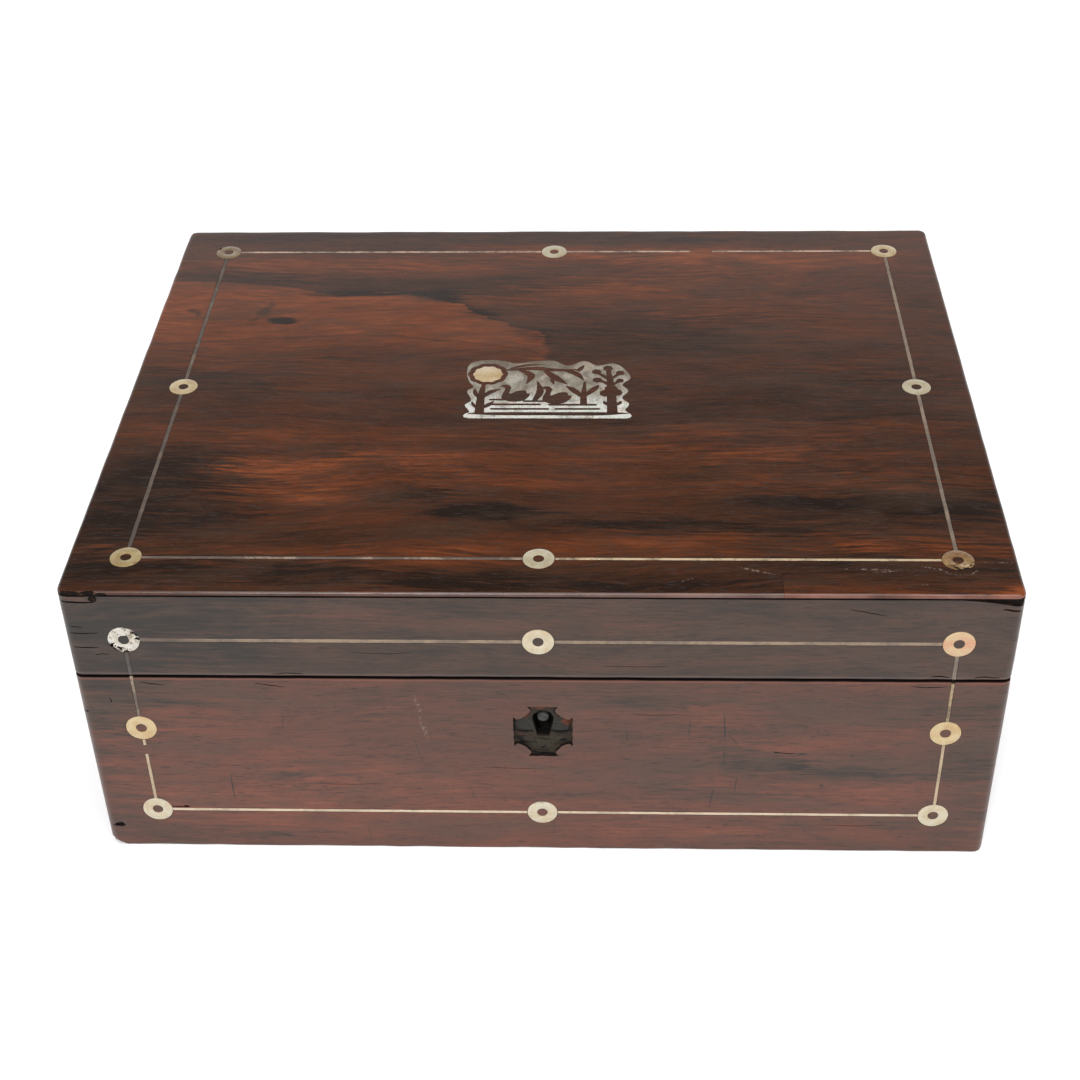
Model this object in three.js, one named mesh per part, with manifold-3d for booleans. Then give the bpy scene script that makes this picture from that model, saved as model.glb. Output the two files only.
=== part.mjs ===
// A low box with a lid that lifts off, veneered in dark figured wood. Shell rings joined by
// thin metal lines are let into the top and the front, and a pierced shell plaque into the top.
// Millimetres, +Z up, the front faces -Y, and the origin is under the middle of the box.

import * as THREE from "three";
import { mergeVertices } from "three/addons/utils/BufferGeometryUtils.js";
import Module from "manifold-3d";

const wasm = await Module();
wasm.setup();

// Box and lid
const boxWidth = 300;
const boxDepth = 236;
const caseHeight = 77.8;
const lidHeight = 34.5;
const lidGap = 0.5; // the dark line between the case and the lid
const wallThickness = 9; // the boards under the veneer
const bottomThickness = 6;
const lidTopThickness = 7;
const veneerThickness = 1.2;
const uprightEdgeRadius = 3;
const topEdgeRadius = 1;
const wornCornerReach = 5; // how far the worn lower left corner runs along its edges
const wornCornerRadius = 15;

// Inlay
const inlayThickness = 0.7;
const glueThickness = 0.1; // under each inlay
const inlayClearance = 0.1; // around each inlay
const ringDiameter = 10.2;
const ringHole = 3.5;
const lineWidth = 1.05;
const ringFromSide = 18.6; // ring centres from the box's left and right
const ringFromTopEdge = 17.8; // on the lid's top, from its front and back
const ringAboveLidRim = 15;
const ringBelowCaseRim = 22.5;
const ringAboveBase = 17.6;
const topLineBreak = { fromMiddle: 54.4, length: 8.8 }; // lost stretch at the back
const caseLineBreak = { belowRing: 7.7, length: 4.1 }; // lost stretch under the left ring

// Repair strip at the front right of the lid's top
const patchLength = 74;
const patchWidth = 12;
const patchClearance = 0.15;

// Lock and the recess of its lost plate
const lockMiddle = 0.9; // off the box's middle
const recessWidth = 19.3;
const recessHeight = 21.9;
const recessMiddleHeight = 54.9;
const recessArmWidth = 13; // the side arms, up and down
const recessArmThickness = 10; // the upper and lower arms, across
const recessHollow = 2.6; // radius of the hollow between two arms
const keyholeHeadDiameter = 7;
const keyholeFootWidth = 3.9;
const keyholeHeadHeight = 59.7;
const keyholeFootHeight = 51.8;
const lockWidth = 50;
const lockHeight = 30;
const lockDepth = 5;
const lockSheet = 1;
const lockClearance = 0.3;
const pinDiameter = 3.7;
const pinSetback = 1.8; // from the front face to the pin's end

// Plaque
const plaqueWidth = 60;
const plaqueHeight = 38.5;
const plaqueShift = { x: 0.5, y: -1.2 }; // off the lid's middle
const sunRadius = 5.4;
const sunMargin = 0.9; // the wood left between the sun and the shell

const overshoot = 1; // a cutter runs past the face that it cuts

// Places worked out from the sizes above
const lidBottom = caseHeight + lidGap;
const boxHeight = lidBottom + lidHeight;
const halfWidth = boxWidth / 2;
const halfDepth = boxDepth / 2;
const coreHalfWidth = halfWidth - veneerThickness;
const coreHalfDepth = halfDepth - veneerThickness;
const lidCoreTop = boxHeight - veneerThickness;
const grooveDepth = inlayThickness + glueThickness;

const finishes = {
  rosewood: { color: 0x4a2a22, roughness: 0.45, metalness: 0 },
  redRosewood: { color: 0x6f3a2a, roughness: 0.5, metalness: 0 },
  board: { color: 0x6b4631, roughness: 0.8, metalness: 0 },
  shell: { color: 0xd6cbb4, roughness: 0.25, metalness: 0 },
  creamShell: { color: 0xd9c48c, roughness: 0.35, metalness: 0 },
  paleMetal: { color: 0xb3a48a, roughness: 0.45, metalness: 0.9 },
  steel: { color: 0x5d5a55, roughness: 0.5, metalness: 0.9 },
};

const box = new THREE.Group();
const materials = {};
for (const [name, values] of Object.entries(finishes)) {
  materials[name] = new THREE.MeshStandardMaterial(values);
}

// A closed geometry as a solid that can be cut and joined
function solidOf(geometry) {
  const bare = geometry.clone();
  bare.deleteAttribute("normal");
  bare.deleteAttribute("uv");
  const merged = mergeVertices(bare, 1e-4);
  return new wasm.Manifold(
    new wasm.Mesh({
      numProp: 3,
      vertProperties: merged.getAttribute("position").array,
      triVerts: new Uint32Array(merged.index.array),
    }),
  );
}

function addPiece(name, solid, finish) {
  const { vertProperties, triVerts } = solid.getMesh();
  const geometry = new THREE.BufferGeometry();
  geometry.setAttribute("position", new THREE.BufferAttribute(vertProperties, 3));
  geometry.setIndex(new THREE.BufferAttribute(triVerts, 1));
  geometry.computeVertexNormals();
  const mesh = new THREE.Mesh(geometry, materials[finish]);
  mesh.name = name;
  box.add(mesh);
}

// The block between two opposite corners
function block(low, high) {
  const size = high.map((value, axis) => value - low[axis]);
  const middle = high.map((value, axis) => (value + low[axis]) / 2);
  return solidOf(new THREE.BoxGeometry(...size).translate(...middle));
}

function extruded(shape, depth, curveSegments = 4) {
  return new THREE.ExtrudeGeometry(shape, { depth, bevelEnabled: false, curveSegments });
}

// A drawn piece lies flat with its back at zero. It is laid into the lid's top, or stood up in
// the front of the lid or the case, with its face level with the surface there.
function laidIn(shape, host, thickness, past = 0, curveSegments = 4) {
  const geometry = extruded(shape, thickness + past, curveSegments);
  if (host === "top") {
    geometry.translate(0, 0, boxHeight - thickness);
  } else {
    geometry.rotateX(Math.PI / 2).translate(0, thickness - halfDepth, 0);
  }
  return solidOf(geometry);
}

// The outer form that every piece of the case or the lid stays inside
function roundedRectangle(width, height, radius) {
  const shape = new THREE.Shape();
  const x = width / 2 - radius;
  const y = height / 2 - radius;
  shape.absarc(x, -y, radius, -Math.PI / 2, 0);
  shape.absarc(x, y, radius, 0, Math.PI / 2);
  shape.absarc(-x, y, radius, Math.PI / 2, Math.PI);
  shape.absarc(-x, -y, radius, Math.PI, 1.5 * Math.PI);
  shape.closePath();
  return shape;
}

function roundedForm(bottom, top, edgeRadius) {
  const shape = roundedRectangle(
    boxWidth - 2 * edgeRadius,
    boxDepth - 2 * edgeRadius,
    uprightEdgeRadius - edgeRadius,
  );
  const geometry = new THREE.ExtrudeGeometry(shape, {
    depth: top - bottom - 2 * edgeRadius,
    bevelEnabled: edgeRadius > 0,
    bevelThickness: edgeRadius,
    bevelSize: edgeRadius,
    bevelSegments: 3,
    curveSegments: 4,
  });
  return solidOf(geometry.translate(0, 0, bottom + edgeRadius));
}

function wornCornerCutter() {
  const reach = wornCornerReach;
  const radius = wornCornerRadius;
  // a ball that meets each of the three edges at the worn corner's reach
  const offset = (reach + Math.sqrt(3 * radius ** 2 - 2 * reach ** 2)) / 3;
  const ball = new THREE.SphereGeometry(radius, 24, 16);
  ball.translate(offset - halfWidth, offset - halfDepth, offset);
  const low = [-halfWidth - overshoot, -halfDepth - overshoot, -overshoot];
  const high = [reach - halfWidth, reach - halfDepth, reach];
  return block(low, high).subtract(solidOf(ball));
}

const caseForm = roundedForm(0, caseHeight, 0).subtract(wornCornerCutter());
const lidForm = roundedForm(lidBottom - 2 * topEdgeRadius, boxHeight, topEdgeRadius);

// Rings, by what they lie in and their centres across and along it
const ringX = halfWidth - ringFromSide;
const ringY = halfDepth - ringFromTopEdge;
const lidRingZ = lidBottom + ringAboveLidRim;
const caseRingZ = caseHeight - ringBelowCaseRim;
const rings = {
  top_back_left: { host: "top", x: -ringX, y: ringY },
  top_back_middle: { host: "top", x: 0, y: ringY },
  top_back_right: { host: "top", x: ringX, y: ringY },
  top_left: { host: "top", x: -ringX, y: 0 },
  top_right: { host: "top", x: ringX, y: 0 },
  top_front_left: { host: "top", x: -ringX, y: -ringY },
  top_front_middle: { host: "top", x: 0, y: -ringY },
  top_front_right: { host: "top", x: ringX, y: -ringY },
  lid_left: { host: "lid", x: -ringX, y: lidRingZ },
  lid_middle: { host: "lid", x: 0, y: lidRingZ },
  lid_right: { host: "lid", x: ringX, y: lidRingZ },
  case_left: { host: "case", x: -ringX, y: caseRingZ },
  case_right: { host: "case", x: ringX, y: caseRingZ },
  case_bottom_left: { host: "case", x: -ringX, y: ringAboveBase },
  case_bottom_middle: { host: "case", x: 0, y: ringAboveBase },
  case_bottom_right: { host: "case", x: ringX, y: ringAboveBase },
};

function ringShape({ x, y }, clearance = 0) {
  const shape = new THREE.Shape();
  shape.absarc(x, y, ringDiameter / 2 + clearance, 0, 2 * Math.PI);
  const hole = new THREE.Path();
  hole.absarc(x, y, ringHole / 2 - clearance, 0, 2 * Math.PI);
  shape.holes.push(hole);
  return shape;
}

// Lines run along x or y between two ends. An end is a ring, a rim or a break in the line.
const lineEndAtRing = ringDiameter / 2 + inlayClearance;
const lines = [];

function addLine(name, axis, across, start, end) {
  const host = name.split("_")[0];
  lines.push({ name, host, axis, across, start, end });
}

for (const [side, sign] of [
  ["left", -1],
  ["right", 1],
]) {
  const x = sign * ringX;
  const near = ringY - lineEndAtRing;
  addLine("top_" + side + "_back", "y", x, lineEndAtRing, near);
  addLine("top_" + side + "_front", "y", x, -near, -lineEndAtRing);
  addLine("lid_" + side, "y", x, lidBottom, lidRingZ - lineEndAtRing);
  addLine("case_" + side + "_upper", "y", x, caseRingZ + lineEndAtRing, caseHeight);
}

const inner = lineEndAtRing;
const outer = ringX - lineEndAtRing;
const lowEnd = ringAboveBase + lineEndAtRing;
const highEnd = caseRingZ - lineEndAtRing;
addLine("top_front_left", "x", -ringY, -outer, -inner);
addLine("top_front_right", "x", -ringY, inner, outer);
addLine("top_back_left", "x", ringY, -outer, -inner);
const topBreakEnd = topLineBreak.fromMiddle + topLineBreak.length;
addLine("top_back_right_inner", "x", ringY, inner, topLineBreak.fromMiddle);
addLine("top_back_right_outer", "x", ringY, topBreakEnd, outer);
addLine("lid_front_left", "x", lidRingZ, -outer, -inner);
addLine("lid_front_right", "x", lidRingZ, inner, outer);
const caseBreakTop = caseRingZ - caseLineBreak.belowRing;
addLine("case_left_stub", "y", -ringX, caseBreakTop, highEnd);
addLine("case_left_lower", "y", -ringX, lowEnd, caseBreakTop - caseLineBreak.length);
addLine("case_right_lower", "y", ringX, lowEnd, highEnd);
addLine("case_bottom_left", "x", ringAboveBase, -outer, -inner);
addLine("case_bottom_right", "x", ringAboveBase, inner, outer);

function lineShape({ axis, across, start, end }, sideways = 0, endways = 0) {
  const halfLine = lineWidth / 2 + sideways;
  const along = [start - endways, end + endways];
  const over = [across - halfLine, across + halfLine];
  const [x, y] = axis === "x" ? [along, over] : [over, along];
  return new THREE.Shape([
    new THREE.Vector2(x[0], y[0]),
    new THREE.Vector2(x[1], y[0]),
    new THREE.Vector2(x[1], y[1]),
    new THREE.Vector2(x[0], y[1]),
  ]);
}

const ringSegments = 10; // per half turn

function ringGroove(ring) {
  const shape = ringShape(ring, inlayClearance);
  return laidIn(shape, ring.host, grooveDepth, overshoot, ringSegments);
}

function lineGroove(line) {
  const shape = lineShape(line, inlayClearance, 2 * inlayClearance);
  return laidIn(shape, line.host, grooveDepth, overshoot);
}

// Plaque: a lake with two swans under a sun, drawn about its own middle. The figures are
// openings in the shell, where the wood stands level with it.
const points = (list) => list.map(([x, y]) => new THREE.Vector2(x, y));

// A closed smooth outline through hand-set points
function smoothOutline(list, perPoint = 2) {
  const vectors = points(list).map((p) => new THREE.Vector3(p.x, p.y, 0));
  const curve = new THREE.CatmullRomCurve3(vectors, true, "centripetal");
  const found = [];
  const count = vectors.length * perPoint;
  for (let i = 0; i < count; i += 1) {
    const p = curve.getPoint(i / count);
    found.push(new THREE.Vector2(p.x, p.y));
  }
  return found;
}

// A leaf or stem: a spine with a width at each of its points, ending in points
function blade(spine, widths) {
  const middle = points(spine);
  const left = [];
  const right = [];
  middle.forEach((p, i) => {
    const before = middle[Math.max(i - 1, 0)];
    const after = middle[Math.min(i + 1, middle.length - 1)];
    const normal = after.clone().sub(before).normalize();
    normal.set(-normal.y, normal.x);
    const half = normal.multiplyScalar(widths[i] / 2);
    left.push(p.clone().add(half));
    if (widths[i] > 0) right.unshift(p.clone().sub(half));
  });
  return [...left, ...right];
}

function disc(x, y, radius, segments, wave = 0, waves = 0) {
  const found = [];
  for (let i = 0; i < segments; i += 1) {
    const angle = (i / segments) * 2 * Math.PI;
    const r = radius + wave * Math.cos(waves * angle);
    found.push(new THREE.Vector2(x + r * Math.cos(angle), y + r * Math.sin(angle)));
  }
  return found;
}

// The outline moved outwards by a distance, or inwards by a negative one
function widened(outline, distance) {
  const turn = THREE.ShapeUtils.isClockWise(outline) ? -1 : 1;
  return outline.map((p, i) => {
    const before = outline[(i + outline.length - 1) % outline.length];
    const after = outline[(i + 1) % outline.length];
    const a = p.clone().sub(before).normalize();
    const b = after.clone().sub(p).normalize();
    const mitre = new THREE.Vector2(a.y + b.y, -a.x - b.x).normalize();
    const spread = Math.max(mitre.dot(new THREE.Vector2(a.y, -a.x)), 0.5);
    return p.clone().addScaledVector(mitre, (turn * distance) / spread);
  });
}

// The picture's places are shares of the plaque's half width and half height, and its stems and
// discs are so many sixtieths of the plaque's width.
const halfPlaque = { x: plaqueWidth / 2, y: plaqueHeight / 2 };
const penWidth = plaqueWidth / 60;
const sunPlace = { x: -0.74 * halfPlaque.x, y: 0.5 * halfPlaque.y };
const sunHole = disc(sunPlace.x, sunPlace.y, sunRadius + sunMargin, 20, 0.04 * sunRadius, 10);

function onPlaque(list) {
  return list.map(([x, y]) => [x * halfPlaque.x, y * halfPlaque.y]);
}

// Lobed sides and a wavy upper edge over a straight lower edge
const plaqueOutline = smoothOutline(
  onPlaque([
    [-0.93, -1],
    [0, -1],
    [0.95, -1],
    [1, -0.87],
    [0.92, -0.72],
    [0.98, -0.5],
    [0.87, -0.32],
    [0.97, -0.08],
    [0.88, 0.14],
    [1, 0.38],
    [0.93, 0.66],
    [0.78, 0.88],
    [0.58, 0.8],
    [0.4, 0.94],
    [0.2, 0.78],
    [0.02, 0.95],
    [-0.2, 0.86],
    [-0.42, 0.8],
    [-0.52, 0.93],
    [-0.74, 1],
    [-0.95, 0.9],
    [-1, 0.6],
    [-0.96, 0.25],
    [-0.9, 0.05],
    [-1, -0.1],
    [-0.92, -0.42],
    [-1, -0.56],
    [-0.93, -0.78],
    [-1, -0.9],
  ]),
);

// A swan swimming to the left, by its breast's place and its length
function swan(x, y, units) {
  const length = units * penWidth;
  const drawn = [
    [0, 0.1],
    [0.02, -0.16],
    [0.3, -0.34],
    [0.72, -0.32],
    [0.98, -0.08],
    [1.06, 0.22],
    [0.9, 0.14],
    [0.84, 0.36],
    [0.58, 0.3],
    [0.36, 0.2],
    [0.2, 0.16],
    [0.24, 0.42],
    [0.26, 0.66],
    [0.12, 0.8],
    [-0.08, 0.68],
    [0.06, 0.66],
    [0.12, 0.56],
    [0.06, 0.34],
  ];
  const [[breastX, breastY]] = onPlaque([[x, y]]);
  return smoothOutline(drawn.map(([u, v]) => [breastX + u * length, breastY + v * length]));
}

function ripple(left, right, height, thickness) {
  const taper = 0.04;
  const spine = onPlaque([
    [left, height],
    [left + taper, height],
    [right - taper, height],
    [right, height],
  ]);
  return blade(spine, [0, thickness * penWidth, thickness * penWidth, 0]);
}

function stem(spine, widths) {
  return blade(
    onPlaque(spine),
    widths.map((width) => width * penWidth),
  );
}

function crown(x, y, radius, segments) {
  const [[middleX, middleY]] = onPlaque([[x, y]]);
  return disc(middleX, middleY, radius * penWidth, segments);
}

const figures = [
  sunHole,
  swan(-0.54, -0.26, 8.6),
  swan(-0.053, -0.327, 8.8),
  // water
  ripple(-0.7, -0.5, -0.4, 0.9),
  ripple(-0.3, 0.0, -0.44, 0.9),
  ripple(-0.66, -0.06, -0.56, 1),
  ripple(0.04, 0.56, -0.58, 1),
  ripple(-0.6, 0.12, -0.7, 0.9),
  ripple(0.24, 0.64, -0.7, 0.9),
  // ground
  stem(
    [
      [-0.9, -0.84],
      [-0.6, -0.86],
      [0, -0.85],
      [0.6, -0.86],
      [0.93, -0.83],
    ],
    [0, 1.3, 1.4, 1.5, 0],
  ),
  // reeds on the left
  stem(
    [
      [-0.8, -0.84],
      [-0.79, -0.3],
      [-0.76, 0.12],
    ],
    [1.7, 1.1, 0],
  ),
  stem(
    [
      [-0.79, -0.3],
      [-0.68, -0.12],
      [-0.58, -0.02],
    ],
    [0, 1.5, 0],
  ),
  stem(
    [
      [-0.8, -0.34],
      [-0.86, -0.16],
      [-0.86, 0],
    ],
    [0, 1.3, 0],
  ),
  stem(
    [
      [-0.8, -0.66],
      [-0.7, -0.54],
      [-0.66, -0.44],
    ],
    [0, 1.3, 0],
  ),
  // branch across the top
  stem(
    [
      [-0.5, 0.62],
      [-0.2, 0.68],
      [0.1, 0.6],
      [0.38, 0.62],
    ],
    [0, 1.5, 1.2, 0],
  ),
  stem(
    [
      [-0.34, 0.64],
      [-0.2, 0.42],
      [-0.24, 0.2],
    ],
    [0, 2, 0],
  ),
  stem(
    [
      [-0.04, 0.66],
      [0.08, 0.36],
      [0.22, 0.16],
    ],
    [0, 2.2, 0],
  ),
  stem(
    [
      [0.16, 0.62],
      [0.32, 0.5],
      [0.4, 0.3],
    ],
    [0, 1.9, 0],
  ),
  // bulrush between the swans
  stem(
    [
      [-0.16, -0.44],
      [-0.1, -0.1],
      [-0.14, 0.24],
    ],
    [0.9, 1.8, 0],
  ),
  // plant with three leaves
  stem(
    [
      [0.42, -0.5],
      [0.42, -0.2],
      [0.44, 0.22],
    ],
    [1.6, 1.1, 0],
  ),
  stem(
    [
      [0.42, -0.3],
      [0.3, -0.04],
      [0.22, 0.06],
    ],
    [0, 1.9, 0],
  ),
  stem(
    [
      [0.43, -0.24],
      [0.54, -0.02],
      [0.6, 0.12],
    ],
    [0, 1.8, 0],
  ),
  // tree on the right
  stem(
    [
      [0.76, -0.82],
      [0.74, -0.3],
      [0.73, 0.3],
      [0.71, 0.66],
    ],
    [2, 1.5, 1.2, 0.8],
  ),
  crown(0.74, -0.125, 2.3, 10),
  crown(0.707, 0.696, 1.6, 8),
  crown(0.573, 0.561, 1.5, 8),
  crown(0.853, 0.519, 1.5, 8),
  crown(0.587, 0.28, 1.5, 8),
  crown(0.867, 0.239, 1.4, 8),
  stem(
    [
      [0.73, 0.1],
      [0.66, 0.22],
      [0.6, 0.28],
    ],
    [0.8, 0.9, 0.9],
  ),
  stem(
    [
      [0.73, 0.06],
      [0.8, 0.18],
      [0.87, 0.24],
    ],
    [0.8, 0.9, 0.9],
  ),
  stem(
    [
      [0.72, 0.3],
      [0.65, 0.44],
      [0.58, 0.54],
    ],
    [0.8, 0.9, 0.9],
  ),
  stem(
    [
      [0.72, 0.28],
      [0.79, 0.42],
      [0.85, 0.52],
    ],
    [0.8, 0.9, 0.9],
  ),
];

function plaqueSolid(clearance, thickness, past = 0) {
  const place = (outline) =>
    new THREE.Shape(
      outline.map((p) => new THREE.Vector2(p.x + plaqueShift.x, p.y + plaqueShift.y)),
    );
  let solid = laidIn(place(widened(plaqueOutline, clearance)), "top", thickness, past);
  for (const figure of figures) {
    const cutter = laidIn(
      place(widened(figure, -clearance)),
      "top",
      thickness + overshoot,
      past + overshoot,
    );
    solid = solid.subtract(cutter);
  }
  return solid;
}

function sunSolid(clearance, thickness, past = 0) {
  const x = sunPlace.x + plaqueShift.x;
  const y = sunPlace.y + plaqueShift.y;
  const outline = disc(x, y, sunRadius + clearance, 20, 0.04 * sunRadius, 10);
  return laidIn(new THREE.Shape(outline), "top", thickness, past);
}

// The lost lock plate's recess: a cross with hollowed corners between its arms
function recessShape() {
  const x = recessWidth / 2;
  const y = recessHeight / 2;
  const armX = recessArmThickness / 2;
  const armY = recessArmWidth / 2;
  const r = recessHollow;
  const corner = [
    [x, armY],
    [x - 1, armY - 1.2],
    [armX + r, armY - 0.9],
    [armX + 0.3 * r, armY + 0.3 * r - 0.4],
    [armX - 0.8, armY + r - 0.4],
    [armX - 1, y - 1.4],
    [armX, y],
  ];
  const mirrored = (list, sx, sy) => {
    const turned = list.map(([u, v]) => [u * sx, v * sy]);
    return sx * sy > 0 ? turned : turned.reverse();
  };
  const outline = [
    ...mirrored(corner, 1, 1),
    ...mirrored(corner, -1, 1),
    ...mirrored(corner, -1, -1),
    ...mirrored(corner, 1, -1),
  ];
  return new THREE.Shape(
    outline.map(([u, v]) => new THREE.Vector2(u + lockMiddle, v + recessMiddleHeight)),
  );
}

function keyholeShape() {
  const radius = keyholeHeadDiameter / 2;
  const shape = new THREE.Shape();
  shape.moveTo(lockMiddle - keyholeFootWidth / 2, keyholeFootHeight);
  shape.lineTo(lockMiddle + keyholeFootWidth / 2, keyholeFootHeight);
  shape.absarc(lockMiddle, keyholeHeadHeight, radius, 0, Math.PI);
  shape.closePath();
  return shape;
}

// Lock: an open steel tray facing the wood, let into the front board from behind and above
const boardFront = -coreHalfDepth;
const boardBack = boardFront + wallThickness;
const lockBack = boardBack;
const lockFront = lockBack - lockDepth;
const lockBottom = caseHeight - lockHeight;

function lockMortise() {
  return block(
    [
      lockMiddle - lockWidth / 2 - lockClearance,
      lockFront - lockClearance,
      lockBottom - lockClearance,
    ],
    [lockMiddle + lockWidth / 2 + lockClearance, lockBack + overshoot, caseHeight + overshoot],
  );
}

function lockCase() {
  const tray = block(
    [lockMiddle - lockWidth / 2, lockFront, lockBottom],
    [lockMiddle + lockWidth / 2, lockBack, caseHeight],
  );
  const hollow = block(
    [lockMiddle - lockWidth / 2 + lockSheet, lockFront - overshoot, lockBottom + lockSheet],
    [lockMiddle + lockWidth / 2 - lockSheet, lockBack - lockSheet, caseHeight - lockSheet],
  );
  return tray.subtract(hollow);
}

function lockPin() {
  const front = pinSetback - halfDepth;
  const length = lockBack - lockSheet - front;
  const pin = new THREE.CylinderGeometry(pinDiameter / 2, pinDiameter / 2, length, 20);
  pin.translate(lockMiddle, front + length / 2, keyholeHeadHeight);
  return solidOf(pin);
}

// Boards: the front and the back run the full width, and the sides fit between them
function addWalls(prefix, bottom, top, form, cutFront) {
  const x = coreHalfWidth;
  const y = coreHalfDepth;
  const innerX = x - wallThickness;
  const innerY = y - wallThickness;
  const boards = {
    front: block([-x, -y, bottom], [x, -innerY, top]),
    back: block([-x, innerY, bottom], [x, y, top]),
    left: block([-x, -innerY, bottom], [-innerX, innerY, top]),
    right: block([innerX, -innerY, bottom], [x, innerY, top]),
  };
  for (const cutter of cutFront) {
    boards.front = boards.front.subtract(cutter);
  }
  for (const [side, board] of Object.entries(boards)) {
    addPiece(prefix + "_" + side + "_board", board.intersect(form), "board");
  }
}

function addSideVeneers(prefix, bottom, top, form, cutFront) {
  const x = halfWidth;
  const y = halfDepth;
  const veneers = {
    front: block([-x, -y, bottom], [x, -coreHalfDepth, top]),
    back: block([-x, coreHalfDepth, bottom], [x, y, top]),
    left: block([-x, -coreHalfDepth, bottom], [-coreHalfWidth, coreHalfDepth, top]),
    right: block([coreHalfWidth, -coreHalfDepth, bottom], [x, coreHalfDepth, top]),
  };
  for (const cutter of cutFront) {
    veneers.front = veneers.front.subtract(cutter);
  }
  for (const [side, veneer] of Object.entries(veneers)) {
    addPiece(prefix + "_" + side + "_veneer", veneer.intersect(form), "rosewood");
  }
}

function groovesIn(host) {
  const isHere = (inlay) => inlay.host === host;
  return [
    ...Object.values(rings).filter(isHere).map(ringGroove),
    ...lines.filter(isHere).map(lineGroove),
  ];
}

// Case
const bottomBoard = block(
  [-coreHalfWidth, -coreHalfDepth, 0],
  [coreHalfWidth, coreHalfDepth, bottomThickness],
);
addPiece("case_bottom_board", bottomBoard.intersect(caseForm), "board");

const keyhole = solidOf(
  extruded(keyholeShape(), wallThickness + 2 * overshoot, 8)
    .rotateX(Math.PI / 2)
    .translate(0, boardBack + overshoot, 0),
);
addWalls("case", bottomThickness, caseHeight, caseForm, [lockMortise(), keyhole]);
const recess = laidIn(recessShape(), "case", veneerThickness, overshoot);
addSideVeneers("case", 0, caseHeight, caseForm, [recess, ...groovesIn("case")]);
addPiece("lock_case", lockCase(), "steel");
addPiece("lock_pin", lockPin(), "steel");

// Lid
const lidWallTop = lidCoreTop - lidTopThickness;
addWalls("lid", lidBottom, lidWallTop, lidForm, []);
const topBoard = block(
  [-coreHalfWidth, -coreHalfDepth, lidWallTop],
  [coreHalfWidth, coreHalfDepth, lidCoreTop],
);
addPiece("lid_top_board", topBoard.intersect(lidForm), "board");
addSideVeneers("lid", lidBottom, lidCoreTop, lidForm, groovesIn("lid"));

function patchBlock(clearance) {
  return block(
    [halfWidth - patchLength - clearance, -halfDepth - overshoot, lidCoreTop - clearance],
    [halfWidth + overshoot, patchWidth - halfDepth + clearance, boxHeight + overshoot],
  );
}

let topVeneer = block([-halfWidth, -halfDepth, lidCoreTop], [halfWidth, halfDepth, boxHeight]);
topVeneer = topVeneer.intersect(lidForm);
addPiece("lid_top_patch", topVeneer.intersect(patchBlock(0)), "redRosewood");
topVeneer = topVeneer.subtract(patchBlock(patchClearance));
for (const cutter of groovesIn("top")) {
  topVeneer = topVeneer.subtract(cutter);
}
topVeneer = topVeneer.subtract(plaqueSolid(inlayClearance, grooveDepth, overshoot));
topVeneer = topVeneer.subtract(sunSolid(inlayClearance, grooveDepth, overshoot));
addPiece("lid_top_veneer", topVeneer, "rosewood");

// Inlay
for (const [name, ring] of Object.entries(rings)) {
  const solid = laidIn(ringShape(ring), ring.host, inlayThickness, 0, ringSegments);
  addPiece("ring_" + name, solid, "shell");
}
for (const line of lines) {
  addPiece("line_" + line.name, laidIn(lineShape(line), line.host, inlayThickness), "paleMetal");
}
addPiece("plaque", plaqueSolid(0, inlayThickness), "shell");
addPiece("plaque_sun", sunSolid(0, inlayThickness), "creamShell");

export default box;
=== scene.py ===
import math

import bpy
from mathutils import Euler, Matrix, Vector, noise


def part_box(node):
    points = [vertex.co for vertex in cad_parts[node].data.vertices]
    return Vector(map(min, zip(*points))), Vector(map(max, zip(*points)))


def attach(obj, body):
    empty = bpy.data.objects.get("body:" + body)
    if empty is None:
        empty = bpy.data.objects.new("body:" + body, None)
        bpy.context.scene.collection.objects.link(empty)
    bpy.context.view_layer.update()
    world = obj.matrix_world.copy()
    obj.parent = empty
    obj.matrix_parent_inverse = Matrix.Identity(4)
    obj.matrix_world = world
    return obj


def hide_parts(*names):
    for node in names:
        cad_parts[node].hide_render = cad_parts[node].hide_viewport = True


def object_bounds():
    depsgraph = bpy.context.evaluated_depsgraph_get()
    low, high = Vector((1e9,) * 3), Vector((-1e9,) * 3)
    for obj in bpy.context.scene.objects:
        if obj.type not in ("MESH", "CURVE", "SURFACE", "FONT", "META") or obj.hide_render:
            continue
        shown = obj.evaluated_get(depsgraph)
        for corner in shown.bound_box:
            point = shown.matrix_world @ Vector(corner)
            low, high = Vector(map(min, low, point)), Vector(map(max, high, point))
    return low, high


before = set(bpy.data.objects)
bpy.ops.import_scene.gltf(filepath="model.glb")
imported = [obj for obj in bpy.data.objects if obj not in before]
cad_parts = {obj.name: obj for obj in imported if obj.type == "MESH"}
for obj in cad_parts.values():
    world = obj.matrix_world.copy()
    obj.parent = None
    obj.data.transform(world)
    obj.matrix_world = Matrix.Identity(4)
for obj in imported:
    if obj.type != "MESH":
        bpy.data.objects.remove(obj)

cadLow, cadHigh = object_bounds()
mm = 0.001


# Small helpers for objects and edit mode

def deselectAll():
    bpy.ops.object.select_all(action="DESELECT")


def pick(piece):
    deselectAll()
    piece.select_set(True)
    bpy.context.view_layer.objects.active = piece


def edit(piece, kind="VERT"):
    pick(piece)
    bpy.ops.object.mode_set(mode="EDIT")
    bpy.ops.mesh.select_mode(type=kind)


def leaveEdit():
    bpy.ops.object.mode_set(mode="OBJECT")


def settle(piece, name):
    pick(piece)
    piece.name = piece.data.name = name
    bpy.ops.object.transform_apply(location=True, rotation=True, scale=True)
    return piece


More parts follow.
